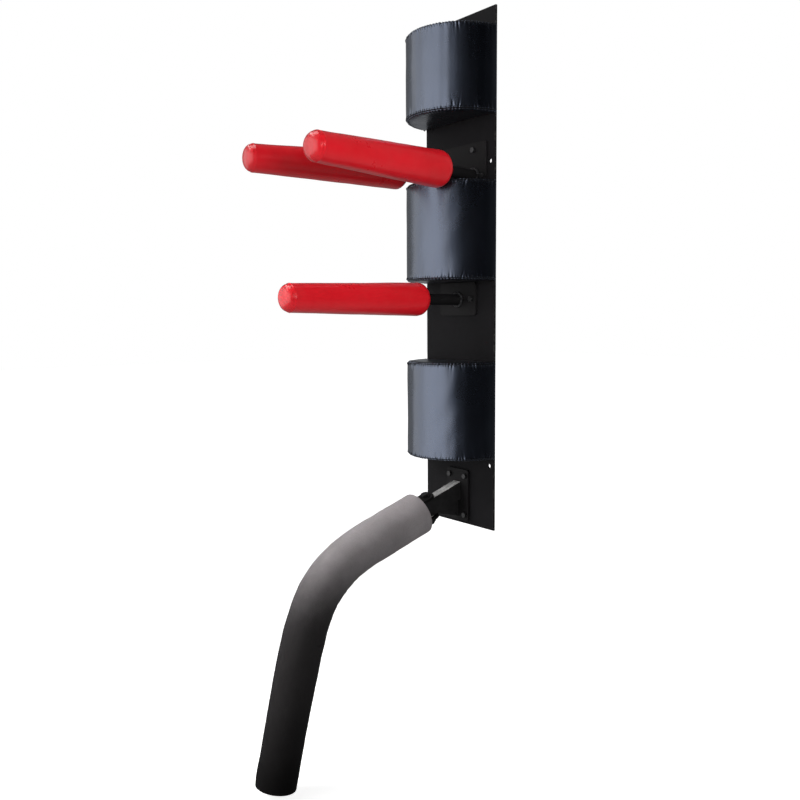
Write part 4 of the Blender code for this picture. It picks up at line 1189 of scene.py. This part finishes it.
def tent():
    """A soft studio tent: bright in front and to the left, dim to the right, plain white to the camera."""
    w = bpy.data.worlds.new("studio_tent")
    w.use_nodes = True
    nt = w.node_tree
    nt.nodes.clear()
    link = nt.links.new
    coord = nt.nodes.new("ShaderNodeTexCoord").outputs["Generated"]
    sep = nt.nodes.new("ShaderNodeSeparateXYZ")
    link(coord, sep.inputs[0])

    def op(kind, a, b=None):
        n = nt.nodes.new("ShaderNodeMath")
        n.operation = kind
        for i, v in enumerate((a, b)):
            if v is None:
                continue
            if isinstance(v, (int, float)):
                n.inputs[i].default_value = v
            else:
                link(v, n.inputs[i])
        return n.outputs[0]

    def ramp_of(fac, stops):
        n = nt.nodes.new("ShaderNodeValToRGB")
        n.color_ramp.interpolation = "B_SPLINE"
        el = n.color_ramp.elements
        while len(el) > 1:
            el.remove(el[-1])
        el[0].position, v = stops[0][0], stops[0][1]
        el[0].color = (v, v, v, 1)
        for pos, v in stops[1:]:
            e = el.new(pos)
            e.color = (v, v, v, 1)
        link(fac, n.inputs[0])
        return n.outputs["Color"]

    around = op("ADD", op("DIVIDE", op("ARCTAN2", sep.outputs["X"], op("MULTIPLY", sep.outputs["Y"], -1.0)), 2 * math.pi), 0.5)
    levels = [(-180, .85), (-150, .70), (-128, .40), (-107, .30), (-84, .50), (-60, 1.10), (-40, 1.80), (-17, 2.30), (5, 2.40), (18, 2.00), (28, 1.30), (38, .55), (48, .15), (60, .02), (85, .0), (120, .0), (150, .35), (180, .85)]
    side = ramp_of(around, [((a + 180) / 360, v / 2.4) for a, v in levels])
    height = op("MULTIPLY_ADD", sep.outputs["Z"], 0.5)
    height.node.inputs[2].default_value = 0.5
    rise = ramp_of(height, [(0.0, .0), (0.20, .30), (0.36, .92), (0.50, 1.0), (0.68, .95), (0.85, .35), (1.0, .08)])
    # pale ground below and a dim ceiling, the same all the way round
    rest = ramp_of(height, [(0.0, .16), (0.20, .14), (0.30, .08), (0.40, .01), (0.50, .0), (0.72, .0), (0.85, .02), (1.0, .05)])
    mul = nt.nodes.new("ShaderNodeMix")
    mul.data_type, mul.blend_type = "RGBA", "MULTIPLY"
    mul.inputs[0].default_value = 1.0
    link(side, mul.inputs[6])
    link(rise, mul.inputs[7])
    add = nt.nodes.new("ShaderNodeMix")
    add.data_type, add.blend_type = "RGBA", "ADD"
    add.inputs[0].default_value = 1.0
    link(mul.outputs[2], add.inputs[6])
    link(rest, add.inputs[7])
    soft = nt.nodes.new("ShaderNodeBackground")
    link(add.outputs[2], soft.inputs["Color"])
    soft.inputs["Strength"].default_value = 1.25
    plain = nt.nodes.new("ShaderNodeBackground")
    plain.inputs["Color"].default_value = (1, 1, 1, 1)
    plain.inputs["Strength"].default_value = 1.0
    path = nt.nodes.new("ShaderNodeLightPath")
    pick = nt.nodes.new("ShaderNodeMixShader")
    link(path.outputs["Is Camera Ray"], pick.inputs[0])
    link(soft.outputs[0], pick.inputs[1])
    link(plain.outputs[0], pick.inputs[2])
    out = nt.nodes.new("ShaderNodeOutputWorld")
    link(pick.outputs[0], out.inputs["Surface"])
    scene.world = w


floor()
tent()
softbox("box_front", -12, 46, 1.50)
softbox("box_left", -54, 36, 0.85)
softbox("box_near", 20, 16, 1.45)
area("side_fill", (1.35, -0.55, 0.28), (0.0, -0.26, 0.13), 0.7, 0.5, 2.7, False, True, 75)
area("over_top", (-0.35, -0.75, 1.75), (0.0, -0.25, -0.45), 0.9, 0.9, 10)
area("leg_light", (-0.55, -1.15, 0.42), (0.0, -0.24, -0.56), 0.5, 0.5, 1.25, False, True, 46)
area("ground_bounce", (0.0, -0.5, -0.925), (0.0, -0.5, 0.0), 2.2, 2.2, 4.2, False, True)
area("strip_high", (-1.45, -1.65, 2.45), (0.0, -0.35, 0.1), 3.4, 0.30, 22, True, False)

a, e, r = math.radians(51.53), math.radians(5.575), math.radians(-0.360)
fwd = Vector((-math.sin(a) * math.cos(e), math.cos(a) * math.cos(e), -math.sin(e)))
right = Vector((math.cos(a), math.sin(a), 0))
up = right.cross(fwd)
right_r = math.cos(r) * right + math.sin(r) * up
up_r = -math.sin(r) * right + math.cos(r) * up
cam_data = bpy.data.cameras.new("camera")
cam_data.sensor_width = 36
cam_data.lens = 38.04
cam_data.clip_start, cam_data.clip_end = 0.02, 60
camera = bpy.data.objects.new("camera", cam_data)
scene.collection.objects.link(camera)
camera.matrix_world = Matrix((
    (right_r.x, up_r.x, -fwd.x, 1.2678),
    (right_r.y, up_r.y, -fwd.y, -1.1654),
    (right_r.z, up_r.z, -fwd.z, -0.0793),
    (0, 0, 0, 1),
))
scene.camera = camera
scene.view_settings.view_transform = "Standard"
